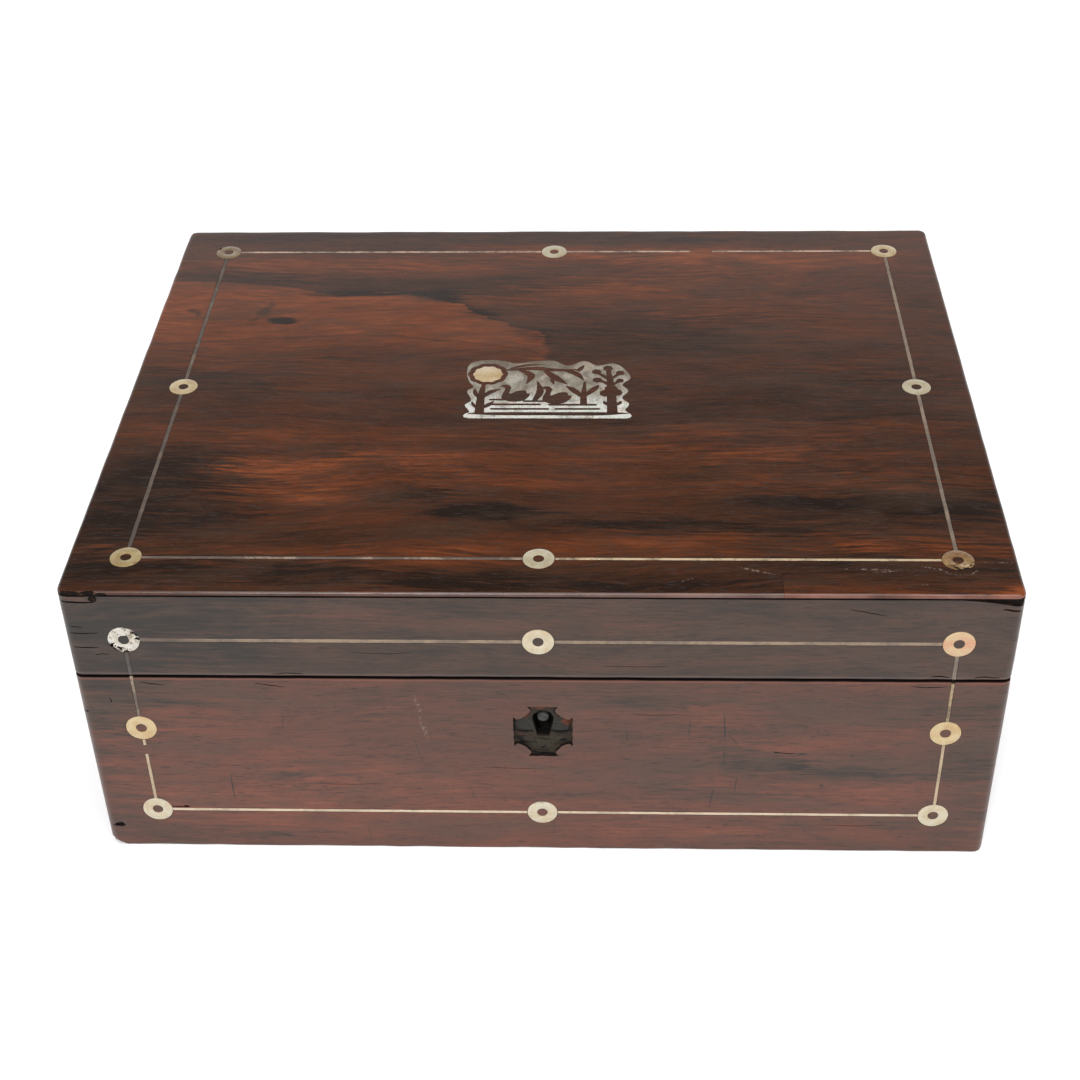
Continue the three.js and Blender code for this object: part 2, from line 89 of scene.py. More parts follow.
# A block between two corners given in millimetres
def block(name, low, high):
    deselectAll()
    size = [(b - a) * mm for a, b in zip(low, high)]
    middle = [(a + b) / 2 * mm for a, b in zip(low, high)]
    bpy.ops.mesh.primitive_cube_add(size=1, location=middle, scale=size)
    return settle(bpy.context.object, name)


# Selects the edges whose two ends, in millimetres, pass the rule
def chooseEdges(piece, rule):
    edit(piece, "EDGE")
    bpy.ops.mesh.select_all(action="DESELECT")
    leaveEdit()
    points = [vertex.co / mm for vertex in piece.data.vertices]
    for edge in piece.data.edges:
        a, b = (points[i] for i in edge.vertices)
        edge.select = bool(rule(a, b))
    edit(piece, "EDGE")


def bevelEdges(piece, rule, width, segments):
    chooseEdges(piece, rule)
    bpy.ops.mesh.bevel(offset=width * mm, segments=segments, affect="EDGES")
    leaveEdit()


# Cuts new edges into the piece at each of these places along an axis
def slice(piece, axis, places):
    normal = [0, 0, 0]
    normal[axis] = 1
    edit(piece)
    for place in places:
        spot = [0, 0, 0]
        spot[axis] = place * mm
        bpy.ops.mesh.select_all(action="SELECT")
        bpy.ops.mesh.bisect(plane_co=spot, plane_no=normal)
    leaveEdit()


# Places between two ends, about a step apart
def between(low, high, step):
    count = max(1, round((high - low) / step))
    return [low + (high - low) * i / count for i in range(1, count)]


def useModifier(piece, kind, **settings):
    modifier = piece.modifiers.new(kind.title(), kind)
    for key, value in settings.items():
        setattr(modifier, key, value)
    pick(piece)
    bpy.ops.object.modifier_apply(modifier=modifier.name)


def remove(piece):
    mesh = piece.data
    bpy.data.objects.remove(piece)
    bpy.data.meshes.remove(mesh)


def combine(piece, other, operation="DIFFERENCE", keep=False, overlapping=False):
    useModifier(piece, "BOOLEAN", operation=operation, object=other, solver="EXACT",
                use_self=overlapping, material_mode="TRANSFER")
    if not keep:
        remove(other)


def copyOf(piece, name):
    copied = piece.copy()
    copied.data = piece.data.copy()
    copied.name = copied.data.name = name
    bpy.context.scene.collection.objects.link(copied)
    return copied


def joined(pieces, name):
    deselectAll()
    for piece in pieces:
        piece.select_set(True)
    bpy.context.view_layer.objects.active = pieces[0]
    if len(pieces) > 1:
        bpy.ops.object.join()
    return settle(bpy.context.view_layer.objects.active, name)


# Merges doubles and turns the faces outwards
def tidyMesh(piece):
    edit(piece)
    bpy.ops.mesh.select_all(action="SELECT")
    bpy.ops.mesh.remove_doubles(threshold=0.002 * mm)
    bpy.ops.mesh.normals_make_consistent(inside=False)
    leaveEdit()


# Moves each vertex by a rule that takes and gives back a place in millimetres
def reshape(piece, rule):
    for vertex in piece.data.vertices:
        vertex.co = Vector(rule(vertex.co / mm)) * mm
    piece.data.update()


def smooth(piece, degrees=32):
    pick(piece)
    bpy.ops.object.shade_smooth_by_angle(angle=math.radians(degrees))


def paint(piece, material):
    piece.data.materials.clear()
    piece.data.materials.append(material)
    return piece


def finishPiece(piece, material, slot, *nodes):
    smooth(piece)
    if not any(piece.data.materials):
        paint(piece, material)
    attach(piece, "root")
    if nodes:
        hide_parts(*nodes)
    return piece


# Small helpers for drawn outlines, all in millimetres

# A smooth run through points of any length, closed or open
def smoothed(points, perPoint, closed=True):
    count = len(points)
    found = []
    for i in range(count if closed else count - 1):
        if closed:
            a, b, c, d = (points[(i + k) % count] for k in (-1, 0, 1, 2))
        else:
            a, b, c, d = (points[min(max(i + k, 0), count - 1)] for k in (-1, 0, 1, 2))
        for k in range(perPoint):
            t = k / perPoint
            found.append([
                0.5 * (2 * q + (r - p) * t + (2 * p - 5 * q + 4 * r - s) * t * t
                       + (3 * q - p - 3 * r + s) * t ** 3)
                for p, q, r, s in zip(a, b, c, d)
            ])
    if not closed:
        found.append(list(points[-1]))
    return found


def disc(x, y, radius, count, wave=0.0, waves=0):
    found = []
    for i in range(count):
        angle = math.tau * i / count
        reach = radius + wave * math.cos(waves * angle)
        found.append((x + reach * math.cos(angle), y + reach * math.sin(angle)))
    return found


# The outline moved outwards, or inwards by a negative distance
def widened(outline, distance):
    area = sum(a[0] * b[1] - b[0] * a[1] for a, b in zip(outline, outline[1:] + outline[:1]))
    turn = 1 if area > 0 else -1
    found = []
    for i, (x, y) in enumerate(outline):
        before = outline[i - 1]
        after = outline[(i + 1) % len(outline)]
        way = Vector((after[0] - before[0], after[1] - before[1]))
        if way.length == 0:
            found.append((x, y))
            continue
        way.normalize()
        found.append((x + turn * distance * way.y, y - turn * distance * way.x))
    return found


# A flat outline made thick between two levels
def drawn(name, outline, bottom, top):
    deselectAll()
    bpy.ops.mesh.primitive_circle_add(vertices=len(outline), radius=mm, fill_type="NGON")
    piece = settle(bpy.context.object, name)
    for vertex, (x, y) in zip(piece.data.vertices, outline):
        vertex.co = (x * mm, y * mm, bottom * mm)
    edit(piece, "FACE")
    bpy.ops.mesh.select_all(action="SELECT")
    lift = (0, 0, (top - bottom) * mm)
    bpy.ops.mesh.extrude_region_move(TRANSFORM_OT_translate={"value": lift})
    bpy.ops.mesh.select_all(action="SELECT")
    bpy.ops.mesh.normals_make_consistent(inside=False)
    leaveEdit()
    return piece


# Stands a piece up so that its levels count outwards through the front
def stand(piece):
    piece.data.transform(Matrix.Rotation(math.pi / 2, 4, "X"))
    piece.data.update()
    return piece


# Small helpers for materials

def put(tree, kind, inputs=None, **settings):
    made = tree.nodes.new("ShaderNode" + kind)
    for key, value in settings.items():
        setattr(made, key, value)
    for key, value in (inputs or {}).items():
        if isinstance(value, bpy.types.NodeSocket):
            tree.links.new(value, made.inputs[key])
        else:
            made.inputs[key].default_value = value
    return made


def calc(tree, operation, first, second=0.0, clamp=False):
    inputs = {0: first, 1: second}
    return put(tree, "Math", inputs, operation=operation, use_clamp=clamp).outputs[0]


def times(tree, first, second):
    return calc(tree, "MULTIPLY", first, second)


# The sum of values, each with its share
def added(tree, *shares):
    total = 0.0
    for value, share in shares:
        inputs = {0: value, 1: share, 2: total}
        total = put(tree, "Math", inputs, operation="MULTIPLY_ADD").outputs[0]
    return total


def ranged(tree, value, low, high, start=0.0, end=1.0, kind="LINEAR"):
    inputs = {0: value, 1: low, 2: high, 3: start, 4: end}
    return put(tree, "MapRange", inputs, interpolation_type=kind).outputs[0]


def mixed(tree, share, first, second, blend="MIX"):
    inputs = {0: share, 6: first, 7: second}
    return put(tree, "Mix", inputs, data_type="RGBA", blend_type=blend).outputs[2]


def colour(red, green, blue):
    return (red, green, blue, 1.0)


def ramp(tree, value, *stops):
    made = put(tree, "ValToRGB", {0: value})
    band = made.color_ramp
    while len(band.elements) < len(stops):
        band.elements.new(1.0)
    for element, (place, tint) in zip(band.elements, stops):
        element.position = place
        element.color = tint
    return made.outputs[0]


# The object's own coordinates in millimetres
def millimetres(tree):
    place = put(tree, "TexCoord").outputs["Object"]
    return put(tree, "VectorMath", {0: place, 3: 1 / mm}, operation="SCALE").outputs[0]


def apart(tree, place):
    return put(tree, "SeparateXYZ", {0: place}).outputs


def vectorOf(tree, x=0.0, y=0.0, z=0.0):
    return put(tree, "CombineXYZ", {0: x, 1: y, 2: z}).outputs[0]


def scaled(tree, place, scale, shift=(0, 0, 0)):
    return put(tree, "Mapping", {0: place, 1: shift, 3: scale}).outputs[0]


def cloud(tree, place, scale, shift=(0, 0, 0), detail=3.0, roughness=0.5, distortion=0.0):
    inputs = {"Vector": scaled(tree, place, scale, shift), "Scale": 1.0, "Detail": detail,
              "Roughness": roughness, "Distortion": distortion}
    return put(tree, "TexNoise", inputs).outputs[0]


# One inside a soft oval and zero outside, on a plane of two coordinates
def oval(tree, plane, x, y, halfWidth, halfHeight, soft=0.6):
    away = put(tree, "VectorMath", {0: plane, 1: (x, y, 0)}, operation="SUBTRACT").outputs[0]
    shares = (1 / halfWidth, 1 / halfHeight, 0)
    away = put(tree, "VectorMath", {0: away, 1: shares}, operation="MULTIPLY").outputs[0]
    far = put(tree, "VectorMath", {0: away}, operation="LENGTH").outputs["Value"]
    return ranged(tree, far, 1 + soft, 1 - soft, kind="SMOOTHSTEP")


# The sum of ovals, each given by its middle, its half sizes and how much it counts
def blots(tree, plane, places, soft=0.6):
    total = 0.0
    for x, y, wide, high, amount in places:
        total = added(tree, (oval(tree, plane, x, y, wide, high, soft), amount), (total, 1.0))
    return total


# Growth lines that close round a middle, as a wave between minus one and one
def loops(tree, plane, x, y, halfWidth, halfHeight, count, uneven):
    away = put(tree, "VectorMath", {0: plane, 1: (x, y, 0)}, operation="SUBTRACT").outputs[0]
    shares = (1 / halfWidth, 1 / halfHeight, 0)
    away = put(tree, "VectorMath", {0: away, 1: shares}, operation="MULTIPLY").outputs[0]
    far = put(tree, "VectorMath", {0: away}, operation="LENGTH").outputs["Value"]
    wave = calc(tree, "SINE", added(tree, (far, count * math.tau), (uneven, 24.0)))
    return times(tree, wave, ranged(tree, far, 1.5, 0.6, kind="SMOOTHSTEP"))


def allLoops(tree, plane, places, uneven):
    total = 0.0
    for x, y, wide, high, count, amount in places:
        wave = loops(tree, plane, x, y, wide, high, count, uneven)
        total = added(tree, (wave, amount), (total, 1.0))
    return total


# A thin mark from one place to another, thinner towards its ends
def stroke(tree, plane, start, end, width):
    run = Vector((end[0] - start[0], end[1] - start[1], 0))
    away = put(tree, "VectorMath", {0: plane, 1: (*start, 0)}, operation="SUBTRACT").outputs[0]
    along = put(tree, "VectorMath", {0: away, 1: run / run.length_squared},
                operation="DOT_PRODUCT").outputs["Value"]
    along = calc(tree, "ADD", along, 0.0, clamp=True)
    near = put(tree, "VectorMath", {0: run, 3: along}, operation="SCALE").outputs[0]
    far = put(tree, "VectorMath", {0: away, 1: near}, operation="DISTANCE").outputs["Value"]
    end = calc(tree, "POWER", calc(tree, "ABSOLUTE", added(tree, (along, 2.0), (1.0, -1.0))), 2)
    return ranged(tree, added(tree, (far, 1.0), (end, 0.8 * width)), width, 0.3 * width)


# The height of a drawn line at each place along it
def lineHeight(tree, along, points):
    xs = [x for x, y in points]
    ys = [y for x, y in points]
    left, right, low, high = min(xs), max(xs), min(ys), max(ys)
    made = put(tree, "FloatCurve", {1: ranged(tree, along, left, right)})
    curve = made.mapping.curves[0]
    while len(curve.points) < len(points):
        curve.points.new(0.5, 0.5)
    for point, (x, y) in zip(curve.points, points):
        point.location = ((x - left) / (right - left), (y - low) / (high - low))
    made.mapping.update()
    return ranged(tree, made.outputs[0], 0, 1, low, high)


def newMaterial(name):
    material = bpy.data.materials.new(name)
    material.use_nodes = True
    tree = material.node_tree
    shader = next(node for node in tree.nodes if node.type == "BSDF_PRINCIPLED")
    return material, tree, shader


def plug(tree, shader, **sockets):
    names = {"base": "Base Color", "rough": "Roughness", "normal": "Normal", "metal": "Metallic"}
    for key, value in sockets.items():
        tree.links.new(value, shader.inputs[names[key]])


def bumped(tree, height, strength, depth, under=None):
    inputs = {"Height": height, "Strength": strength, "Distance": depth * mm}
    if under:
        inputs["Normal"] = under
    return put(tree, "Bump", inputs).outputs[0]


print("camera, floor and light")

viewpoint = {
    "place": (21.67, -561.2, 472.1),
    "turn": (52.66, 1.11, 1.77),
    "lens": 61.8,
    "sensor": 36.0,
}


def makeCamera(v):
    data = bpy.data.cameras.new("camera")
    data.lens = v["lens"]
    data.sensor_width = v["sensor"]
    data.clip_start = 0.01
    data.clip_end = 20
    camera = bpy.data.objects.new("camera", data)
    camera.location = Vector(v["place"]) * mm
    camera.rotation_euler = Euler([math.radians(angle) for angle in v["turn"]])
    bpy.context.scene.collection.objects.link(camera)
    bpy.context.scene.camera = camera


studio = {
    "floorSize": 8.0,
    "floorColour": colour(0.66, 0.66, 0.66),
    "floorGlow": 0.22,
    # the sky's brightness by the height it is seen at, 0 level and 1 overhead
    "sky": [(0.0, 1.5), (0.42, 1.2), (0.54, 0.12), (0.62, 0.05), (1.0, 0.25)],
    "skyTint": (1.0, 1.0, 1.02),
    "topLight": {"place": (0.15, -0.35, 1.9), "size": 1.5, "power": 40},
    "frontLight": {"place": (-0.35, -1.7, 1.75), "size": 0.55, "power": 34},
}


def softLight(name, place, size, power):
    data = bpy.data.lights.new(name, "AREA")
    data.shape = "SQUARE"
    data.size = size
    data.energy = power
    light = bpy.data.objects.new(name, data)
    light.location = place
    aim = Vector((0, 0, 0.05)) - Vector(place)
    light.rotation_euler = aim.to_track_quat("-Z", "Y").to_euler()
    bpy.context.scene.collection.objects.link(light)


def makeStudio(s):
    deselectAll()
    bpy.ops.mesh.primitive_plane_add(size=s["floorSize"])
    floor = settle(bpy.context.object, "floor")
    material, tree, shader = newMaterial("floor")
    shader.inputs["Base Color"].default_value = s["floorColour"]
    shader.inputs["Roughness"].default_value = 0.9
    shader.inputs["Specular IOR Level"].default_value = 0.1
    shader.inputs["Emission Color"].default_value = colour(1, 1, 1)
    shader.inputs["Emission Strength"].default_value = s["floorGlow"]
    floor.data.materials.append(material)
    world = bpy.data.worlds.new("studio")
    world.use_nodes = True
    tree = world.node_tree
    background = tree.nodes["Background"]
    way = put(tree, "TexCoord").outputs["Generated"]
    height = apart(tree, way)[2]
    stops = [(place, colour(*(level * tint for tint in s["skyTint"]))) for place, level in s["sky"]]
    tree.links.new(ramp(tree, height, *stops), background.inputs["Color"])
    bpy.context.scene.world = world
    for name in ("topLight", "frontLight"):
        softLight(name, **s[name])
    bpy.context.scene.view_settings.view_transform = "Standard"


makeCamera(viewpoint)
makeStudio(studio)

print("sizes")

# Places of the CAD nodes, in millimetres
def nodeBox(node):
    low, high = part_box(node)
    return [value / mm for value in low], [value / mm for value in high]


outerLow = [value / mm for value in cadLow]
outerHigh = [value / mm for value in cadHigh]
caseTop = nodeBox("case_front_veneer")[1][2]
lidBottom = nodeBox("lid_front_veneer")[0][2]
veneerTop = nodeBox("lid_top_veneer")[0][2]  # where the lid's upright veneers end
frontBack = nodeBox("case_front_veneer")[1][1]  # where the front veneer meets the board
sideBack = nodeBox("case_right_veneer")[0][0]
top = outerHigh[2]
front = outerLow[1]
inlayDepth = top - nodeBox("plaque")[0][2]
inlays = [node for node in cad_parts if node.startswith(("ring_", "line_"))]

print("wood")

# Rosewood, from its darkest streaks to its brightest. The level says how red a surface is, and
# bands, lines, streaks and fibre how much each size of grain changes it.
topWood = {
    "name": "rosewoodTop",
    "axes": (0, 1, 2),
    "tones": [(0.0, colour(0.010, 0.0050, 0.0030)), (0.3, colour(0.029, 0.0110, 0.0052)),
              (0.55, colour(0.056, 0.0165, 0.0060)), (0.8, colour(0.098, 0.0255, 0.0078)),
              (1.0, colour(0.145, 0.038, 0.012))],
    "level": 0.40,
    "bands": 0.40,
    "mottle": 0.60,
    "lines": 0.22,
    "streaks": 0.55,
    "fibre": 0.60,
    "fine": 1.0,
    "hair": 0.24,
    "greyed": 0.40,
    "grey": colour(0.036, 0.0185, 0.0105),
    "sway": 26.0,
    "pores": 0.45,
    "poreDepth": -0.3,
    "nicks": 0.22,
    "dust": 0.13,
    "scuffed": 0.17,
    # edge: a paler rounded front edge, partly real wear and partly a painted highlight; worn: how
    # much of it shows
    "edge": colour(0.20, 0.125, 0.11),
    "worn": 0.55,
    "roughness": (0.16, 0.25),
    "gloss": 0.24,
}

frontWood = {
    "name": "rosewoodFront",
    "axes": (0, 2, 1),
    "tones": [(0.0, colour(0.014, 0.0095, 0.0070)), (0.3, colour(0.045, 0.0215, 0.0130)),
              (0.55, colour(0.076, 0.0275, 0.0165)), (0.8, colour(0.115, 0.034, 0.0185)),
              (1.0, colour(0.155, 0.048, 0.027))],
    "level": 0.54,
    "bands": 0.25,
    "mottle": 0.62,
    "lines": 0.12,
    "streaks": 0.36,
    "fibre": 0.62,
    "fine": 1.35,
    "hair": 0.28,
    "greyed": 0.50,
    "grey": colour(0.056, 0.0295, 0.0190),
    "sway": 12.0,
    "pores": 0.6,
    "poreDepth": -1.0,
    "nicks": 0.30,
    "dust": 0.05,
    "scuffed": 0.17,
    "roughness": (0.28, 0.38),
    "gloss": 0.40,
}

sideWood = dict(frontWood, name="rosewoodSide", axes=(1, 2, 0), bands=0.6, sway=18.0)
backWood = dict(frontWood, name="rosewoodBack", bands=0.6, sway=22.0)
# The patch's paler front edge is partly real wear and partly a painted highlight
patchWood = dict(topWood, name="rosewoodPatch", level=0.27, bands=0.3, mottle=0.6, sway=4.0,
                 edge=colour(0.17, 0.080, 0.062), worn=0.85, greyed=0.55)

# Redder and darker places of the lid's top: middle, half sizes and how much
topReds = [
    (-80, 87, 58, 8, 0.30), (20, 99, 60, 6, 0.20), (80, 92, 62, 9, 0.30), (48, 76, 44, 9, 0.20),
    (20, 62, 46, 14, 0.16), (100, 52, 46, 16, 0.16), (-132, 96, 22, 7, 0.14), (110, 8, 40, 10, 0.1),
    (-90, -50, 21, 5, 0.50), (-74, -63, 27, 9, 0.32), (-40, -45, 34, 6, 0.34),
    (-12, -57, 28, 6, 0.24), (-105, -30, 40, 8, 0.14), (88, -26, 54, 5, 0.22),
    (66, -42, 62, 7, 0.26), (106, -58, 52, 8, 0.26), (-128, -98, 34, 5, 0.16),
    (-50, -100, 60, 7, 0.18), (64, -92, 80, 7, 0.24), (128, -95, 30, 7, 0.26),
    (-60, -114, 120, 3, 0.12), (-100, 14, 50, 9, 0.14), (0, -30, 60, 6, 0.14),
]
topDarks = [
    (-118, 80, 34, 3.4, 0.16), (-74, 66.6, 19, 1.7, 0.80), (-43, 64.5, 9, 4.2, 0.65),
    (-28, 51, 7, 3.5, 0.35), (-8, 36, 6, 4, 0.4), (-30, 72, 34, 5, 0.14),
    (30, 36, 40, 16, 0.14), (-21, -76, 18, 4.4, 0.62), (-50, -66, 14, 5, 0.3),
    (128, -71, 20, 4.5, 0.42), (92, -70, 24, 3.5, 0.26), (-132, 4, 34, 7, 0.18),
    (-132, -55, 24, 16, 0.20), (20, -20, 60, 10, 0.08), (90, 4, 66, 8, 0.12),
    (40, -84, 44, 4, 0.28), (-120, -80, 30, 6, 0.2), (0, 112, 160, 5, 0.16),
    (-30, 20, 30, 6, 0.10), (-96, -104, 44, 4, 0.26), (-64, -111, 110, 6, 0.24),
    (-140, -90, 12, 20, 0.2),
    (0, -114, 70, 3, 0.2), (104, -32, 74, 34, 0.11), (118, -88, 56, 30, 0.22),
    (-132, -84, 30, 40, 0.12), (100, 40, 60, 30, 0.05), (-120, 30, 40, 60, 0.05),
]
# The knot and the dark specks beside it
topKnots = [(-101, 46.6, 5.6, 2.5, 0.75), (-98.5, 45.4, 2.6, 1.2, 0.3), (-109, 53, 2.6, 2.6, 0.35),
            (-107.6, 57, 1.5, 3.2, 0.28), (-136, 54.5, 2.2, 1.4, 0.35),
            (-111.5, 47.5, 1.6, 1.0, 0.25),
            (-133.4, 51.8, 1.0, 2.4, 0.25)]
# Grain that closes into loops: middle, half sizes, lines and how much
topLoops = [(-66, -56, 46, 17, 3.5, 0.10), (-101, 47, 20, 10, 2.5, 0.06), (40, 66, 70, 22, 3, 0.05),
            (84, -46, 60, 16, 3, 0.06), (-10, 96, 60, 14, 2, 0.04)]
redZoneTop = [(-152, 76), (-128, 75), (-107, 72.5), (-91, 68.4), (-78, 67.6), (-62, 68), (-52, 65),
              (-44, 61.5), (-38, 60), (-32, 53.7), (-22, 46.2), (-12, 40.5), (-4.5, 36.2), (-1, 30)]
redZoneFoot = [(-152, 29.5), (-128, 31.5), (-102, 33.7), (-70, 35.5), (-47, 32.5), (-22, 27.5),
               (-1, 20)]
boundary = [(-60, 70), (-40, 76), (-17, 82.5), (8, 91), (38, 95), (80, 99)]


# Where the lid's top is redder or darker, on a plane bent a little and one feathered along x
def topFigure(tree, plane, feathered, streaks, ripple):
    parts = apart(tree, plane)
    across, up = parts[0], parts[1]
    above = calc(tree, "SUBTRACT", lineHeight(tree, across, redZoneTop), up)
    above = added(tree, (above, 1.0), (streaks, 5.0), (1.0, -2.5))
    below = calc(tree, "SUBTRACT", up, lineHeight(tree, across, redZoneFoot))
    inside = calc(tree, "MINIMUM", ranged(tree, above, -0.2, 0.4), ranged(tree, below, -16, 1.5))
    inside = times(tree, inside, ranged(tree, across, -0.5, -3.5))
    rim = times(tree, ranged(tree, above, -5, 0), ranged(tree, above, 0.7, -0.3))
    rim = times(tree, rim, ranged(tree, across, -96, -84))
    rim = times(tree, rim, ranged(tree, across, 10, -6))
    footLine = ranged(tree, calc(tree, "ABSOLUTE", below), 1.1, 0.2)
    footLine = times(tree, footLine, ranged(tree, across, 2, -8))
    beyond = calc(tree, "SUBTRACT", up, lineHeight(tree, across, boundary))
    beyond = times(tree, ranged(tree, beyond, -3, 6), ranged(tree, across, -70, -30))
    redder = times(tree, blots(tree, feathered, topReds),
                   ranged(tree, streaks, 0.3, 0.7, 0.3, 1.5))
    darker = times(tree, blots(tree, feathered, topDarks),
                   ranged(tree, streaks, 0.32, 0.66, 1.7, 0.5))
    knots = blots(tree, plane, topKnots, 0.4)
    waves = allLoops(tree, feathered, topLoops, ripple)
    return added(tree, (inside, 0.40), (redder, 1.0), (darker, -1.0), (knots, -1.0), (rim, -0.22),
                 (footLine, -0.18), (beyond, 0.07), (waves, 1.0))


# The patch is redder towards its front edge, and most at its rubbed corner
def patchFigure(tree, plane, feathered, streaks, ripple):
    up = apart(tree, plane)[1]
    redder = times(tree, ranged(tree, up, front + 10, front + 2),
                   ranged(tree, streaks, 0.38, 0.62, 0.2, 1.5))
    corner = oval(tree, feathered, 149, front + 1.0, 8, 2.8, 0.5)
    return added(tree, (redder, 0.24), (corner, 0.75))


# Rubbed places by the patch and by the front right ring
topScuffs = [((92, -104.9), (118, -105.4), 0.55), ((104, -106.6), (113, -105.8), 0.5),
             ((119, -103.6), (127, -105.2), 0.5), ((124.4, -104.6), (128.4, -107.6), 0.45),
             ((128.4, -107.6), (134, -107.8), 0.45), ((134, -107.8), (138, -104.4), 0.45),
             ((137, -101.2), (150, -101.5), 0.4), ((62, -104), (74, -108), 0.7),
             ((44, -112), (49, -109.5), 0.5), ((118, -112.4), (122, -112.6), 0.5)]

frontReds = [
    (-105, 35, 44, 26, 0.14), (-60, 20, 60, 12, 0.12), (-35, 66, 50, 8, 0.10),
    (70, 62, 40, 5, 0.12), (62, 60, 6, 3, 0.16), (44, 51, 7, 3.5, 0.22), (60, 22, 70, 10, 0.12),
    (122, 54, 18, 6, 0.16), (84, 50, 22, 3, 0.14), (110, 30, 36, 8, 0.10), (0, 8, 150, 5, 0.08),
    (-30, 34, 40, 8, 0.08), (-118, 55, 26, 6, 0.10), (20, 100, 60, 3, 0.10), (66, 10, 40, 4, 0.10),
    (-132, 110, 16, 3, 0.12), (60, 86, 60, 3, 0.10), (-56, 103, 20, 4, 0.16),
]
frontDarks = [
    (-134, 10, 18, 11, 0.14), (-100, 7, 26, 3, 0.12), (-98, 4.6, 3, 2.4, 0.32),
    (-82, 34, 10, 2, 0.26), (-80, 28, 8, 1.6, 0.22), (-128, 70, 28, 6, 0.16), (25, 70, 46, 5, 0.14),
    (120, 66, 30, 6, 0.16), (100, 36, 30, 3.5, 0.24), (74, 40, 16, 3, 0.22), (72, 26, 16, 2.4, 0.2),
    (40, 26, 28, 2.6, 0.12), (-58, 66, 12, 7, 0.10), (136, 22, 14, 20, 0.12), (60, 47, 5, 6, 0.18),
    (-20, 24, 40, 2.4, 0.12), (140, 44, 10, 8, 0.14), (66, 12, 20, 2, 0.16),
    (113, 12, 6, 2.5, 0.22), (40, 30, 8, 5, 0.18), (-128, 97, 34, 16, 0.24), (142, 30, 8, 24, 0.12),
    (-146, 40, 5, 30, 0.14), (-140, 98, 18, 14, 0.22), (-139, 62, 15, 20, 0.18),
]
# Bent grey-brown grain: from, to, width and how deep the tone goes
frontBends = [
    ((59, 66), (63, 54), 2.2, -0.14), ((63, 54), (70, 45), 2.8, -0.16),
    ((70, 45), (88, 38), 3.6, -0.2),
    ((88, 38), (124, 36), 3.6, -0.18), ((70, 36), (73, 28), 2.2, -0.22),
    ((73, 28), (84, 21), 2.0, -0.18),
    ((43, 56), (38, 44), 3.0, -0.14), ((38, 44), (44, 32), 3.6, -0.14),
    ((-96, 40), (-78, 30), 2.4, -0.16),
    ((-78, 30), (-60, 29), 2.4, -0.12),
]
# Knocks, cracks and scrapes on the front: from, to, width and how deep the tone goes
frontMarks = [
    ((59.6, 65), (60.4, 50), 0.4, -0.5), ((60.4, 50), (60.2, 39), 0.3, -0.4),
    ((61, 55), (66, 47.4), 0.3, -0.4), ((66, 47.2), (74, 47.3), 0.3, -0.55),
    ((76.3, 46.4), (78.1, 46.2), 0.7, -0.9), ((83.8, 45.7), (87.7, 45.8), 0.55, -0.9),
    ((101.6, 45.2), (103, 45), 0.6, -0.6), ((90.1, 56.2), (90.3, 55.2), 0.4, -0.9),
    ((81.5, 58.3), (86.7, 58.2), 0.3, -0.45), ((92.4, 31.5), (93.8, 31.1), 0.6, -0.9),
    ((107, 27.4), (107.9, 26.8), 0.4, -0.5), ((64.8, 35.5), (64.4, 27.2), 0.3, -0.5),
    ((57.5, 30.3), (56, 19.9), 0.35, -0.5), ((91.8, 42.8), (92, 38.7), 0.3, -0.4),
    ((48.7, 63.7), (48.5, 51.2), 0.3, -0.35), ((-104.5, 36), (-104.2, 21), 0.4, -0.6),
    ((-42, 52), (-39, 40), 0.3, -0.3), ((-84, 62), (-84.6, 54), 0.3, -0.35),
    ((-148.6, 110.1), (-140.2, 109.8), 1.5, 0.5),
    ((28, 57), (28.4, 50), 0.35, -0.3), ((50, 30.5), (60, 30), 0.3, -0.4),
    ((50, 27.3), (60, 27.2), 0.3, -0.35), ((-60, 12), (-59, 4), 0.35, -0.3),
    ((4, 14), (3.6, 6), 0.35, -0.3), ((-24, 30), (-22, 22), 0.3, -0.3),
]
scrapes = [((-40.6, 71.5), (-38.6, 62), 1.0), ((-39.4, 62), (-36.8, 50.5), 1.1)]


frontLoops = [(56, 50, 22, 12, 4, 0.10), (98, 34, 44, 12, 3, 0.07), (-78, 34, 40, 14, 3, 0.06)]


def frontFigure(tree, plane, feathered, streaks, ripple):
    redder = times(tree, blots(tree, feathered, frontReds, 0.8),
                   ranged(tree, streaks, 0.3, 0.7, 0.4, 1.6))
    darker = times(tree, blots(tree, feathered, frontDarks, 0.7),
                   ranged(tree, streaks, 0.3, 0.65, 1.6, 0.5))
    waves = allLoops(tree, feathered, frontLoops, ripple)
    for start, end, width, depth in frontBends:
        bend = stroke(tree, feathered, start, end, width)
        waves = added(tree, (bend, depth), (waves, 1.0))
    up = apart(tree, plane)[1]
    lid = ranged(tree, up, caseTop - 0.5, lidBottom + 0.5)
    upper = ranged(tree, up, 30, 60)
    return added(tree, (redder, 1.0), (darker, -1.0), (waves, 1.0), (lid, -0.23), (upper, -0.10))


# Redder and darker places of the sides and the back
plainBlots = [
    (-70, 40, 50, 14, -0.14), (64, 66, 44, 7, -0.16), (30, 24, 60, 9, 0.14), (-96, 70, 34, 6, 0.12),
    (96, 44, 30, 9, 0.14), (-20, 98, 60, 5, 0.12), (-40, 8, 80, 6, -0.12),
    (118, 12, 26, 10, -0.14),
]


# On the sides and the back the lid is darker than the case
def plainFigure(tree, plane, feathered, streaks, ripple):
    up = apart(tree, plane)[1]
    lid = ranged(tree, up, caseTop - 0.5, lidBottom + 0.5)
    waves = loops(tree, feathered, 20, 46, 56, 20, 4, ripple)
    return added(tree, (lid, -0.16), (blots(tree, feathered, plainBlots, 0.8), 1.0), (waves, 0.09))
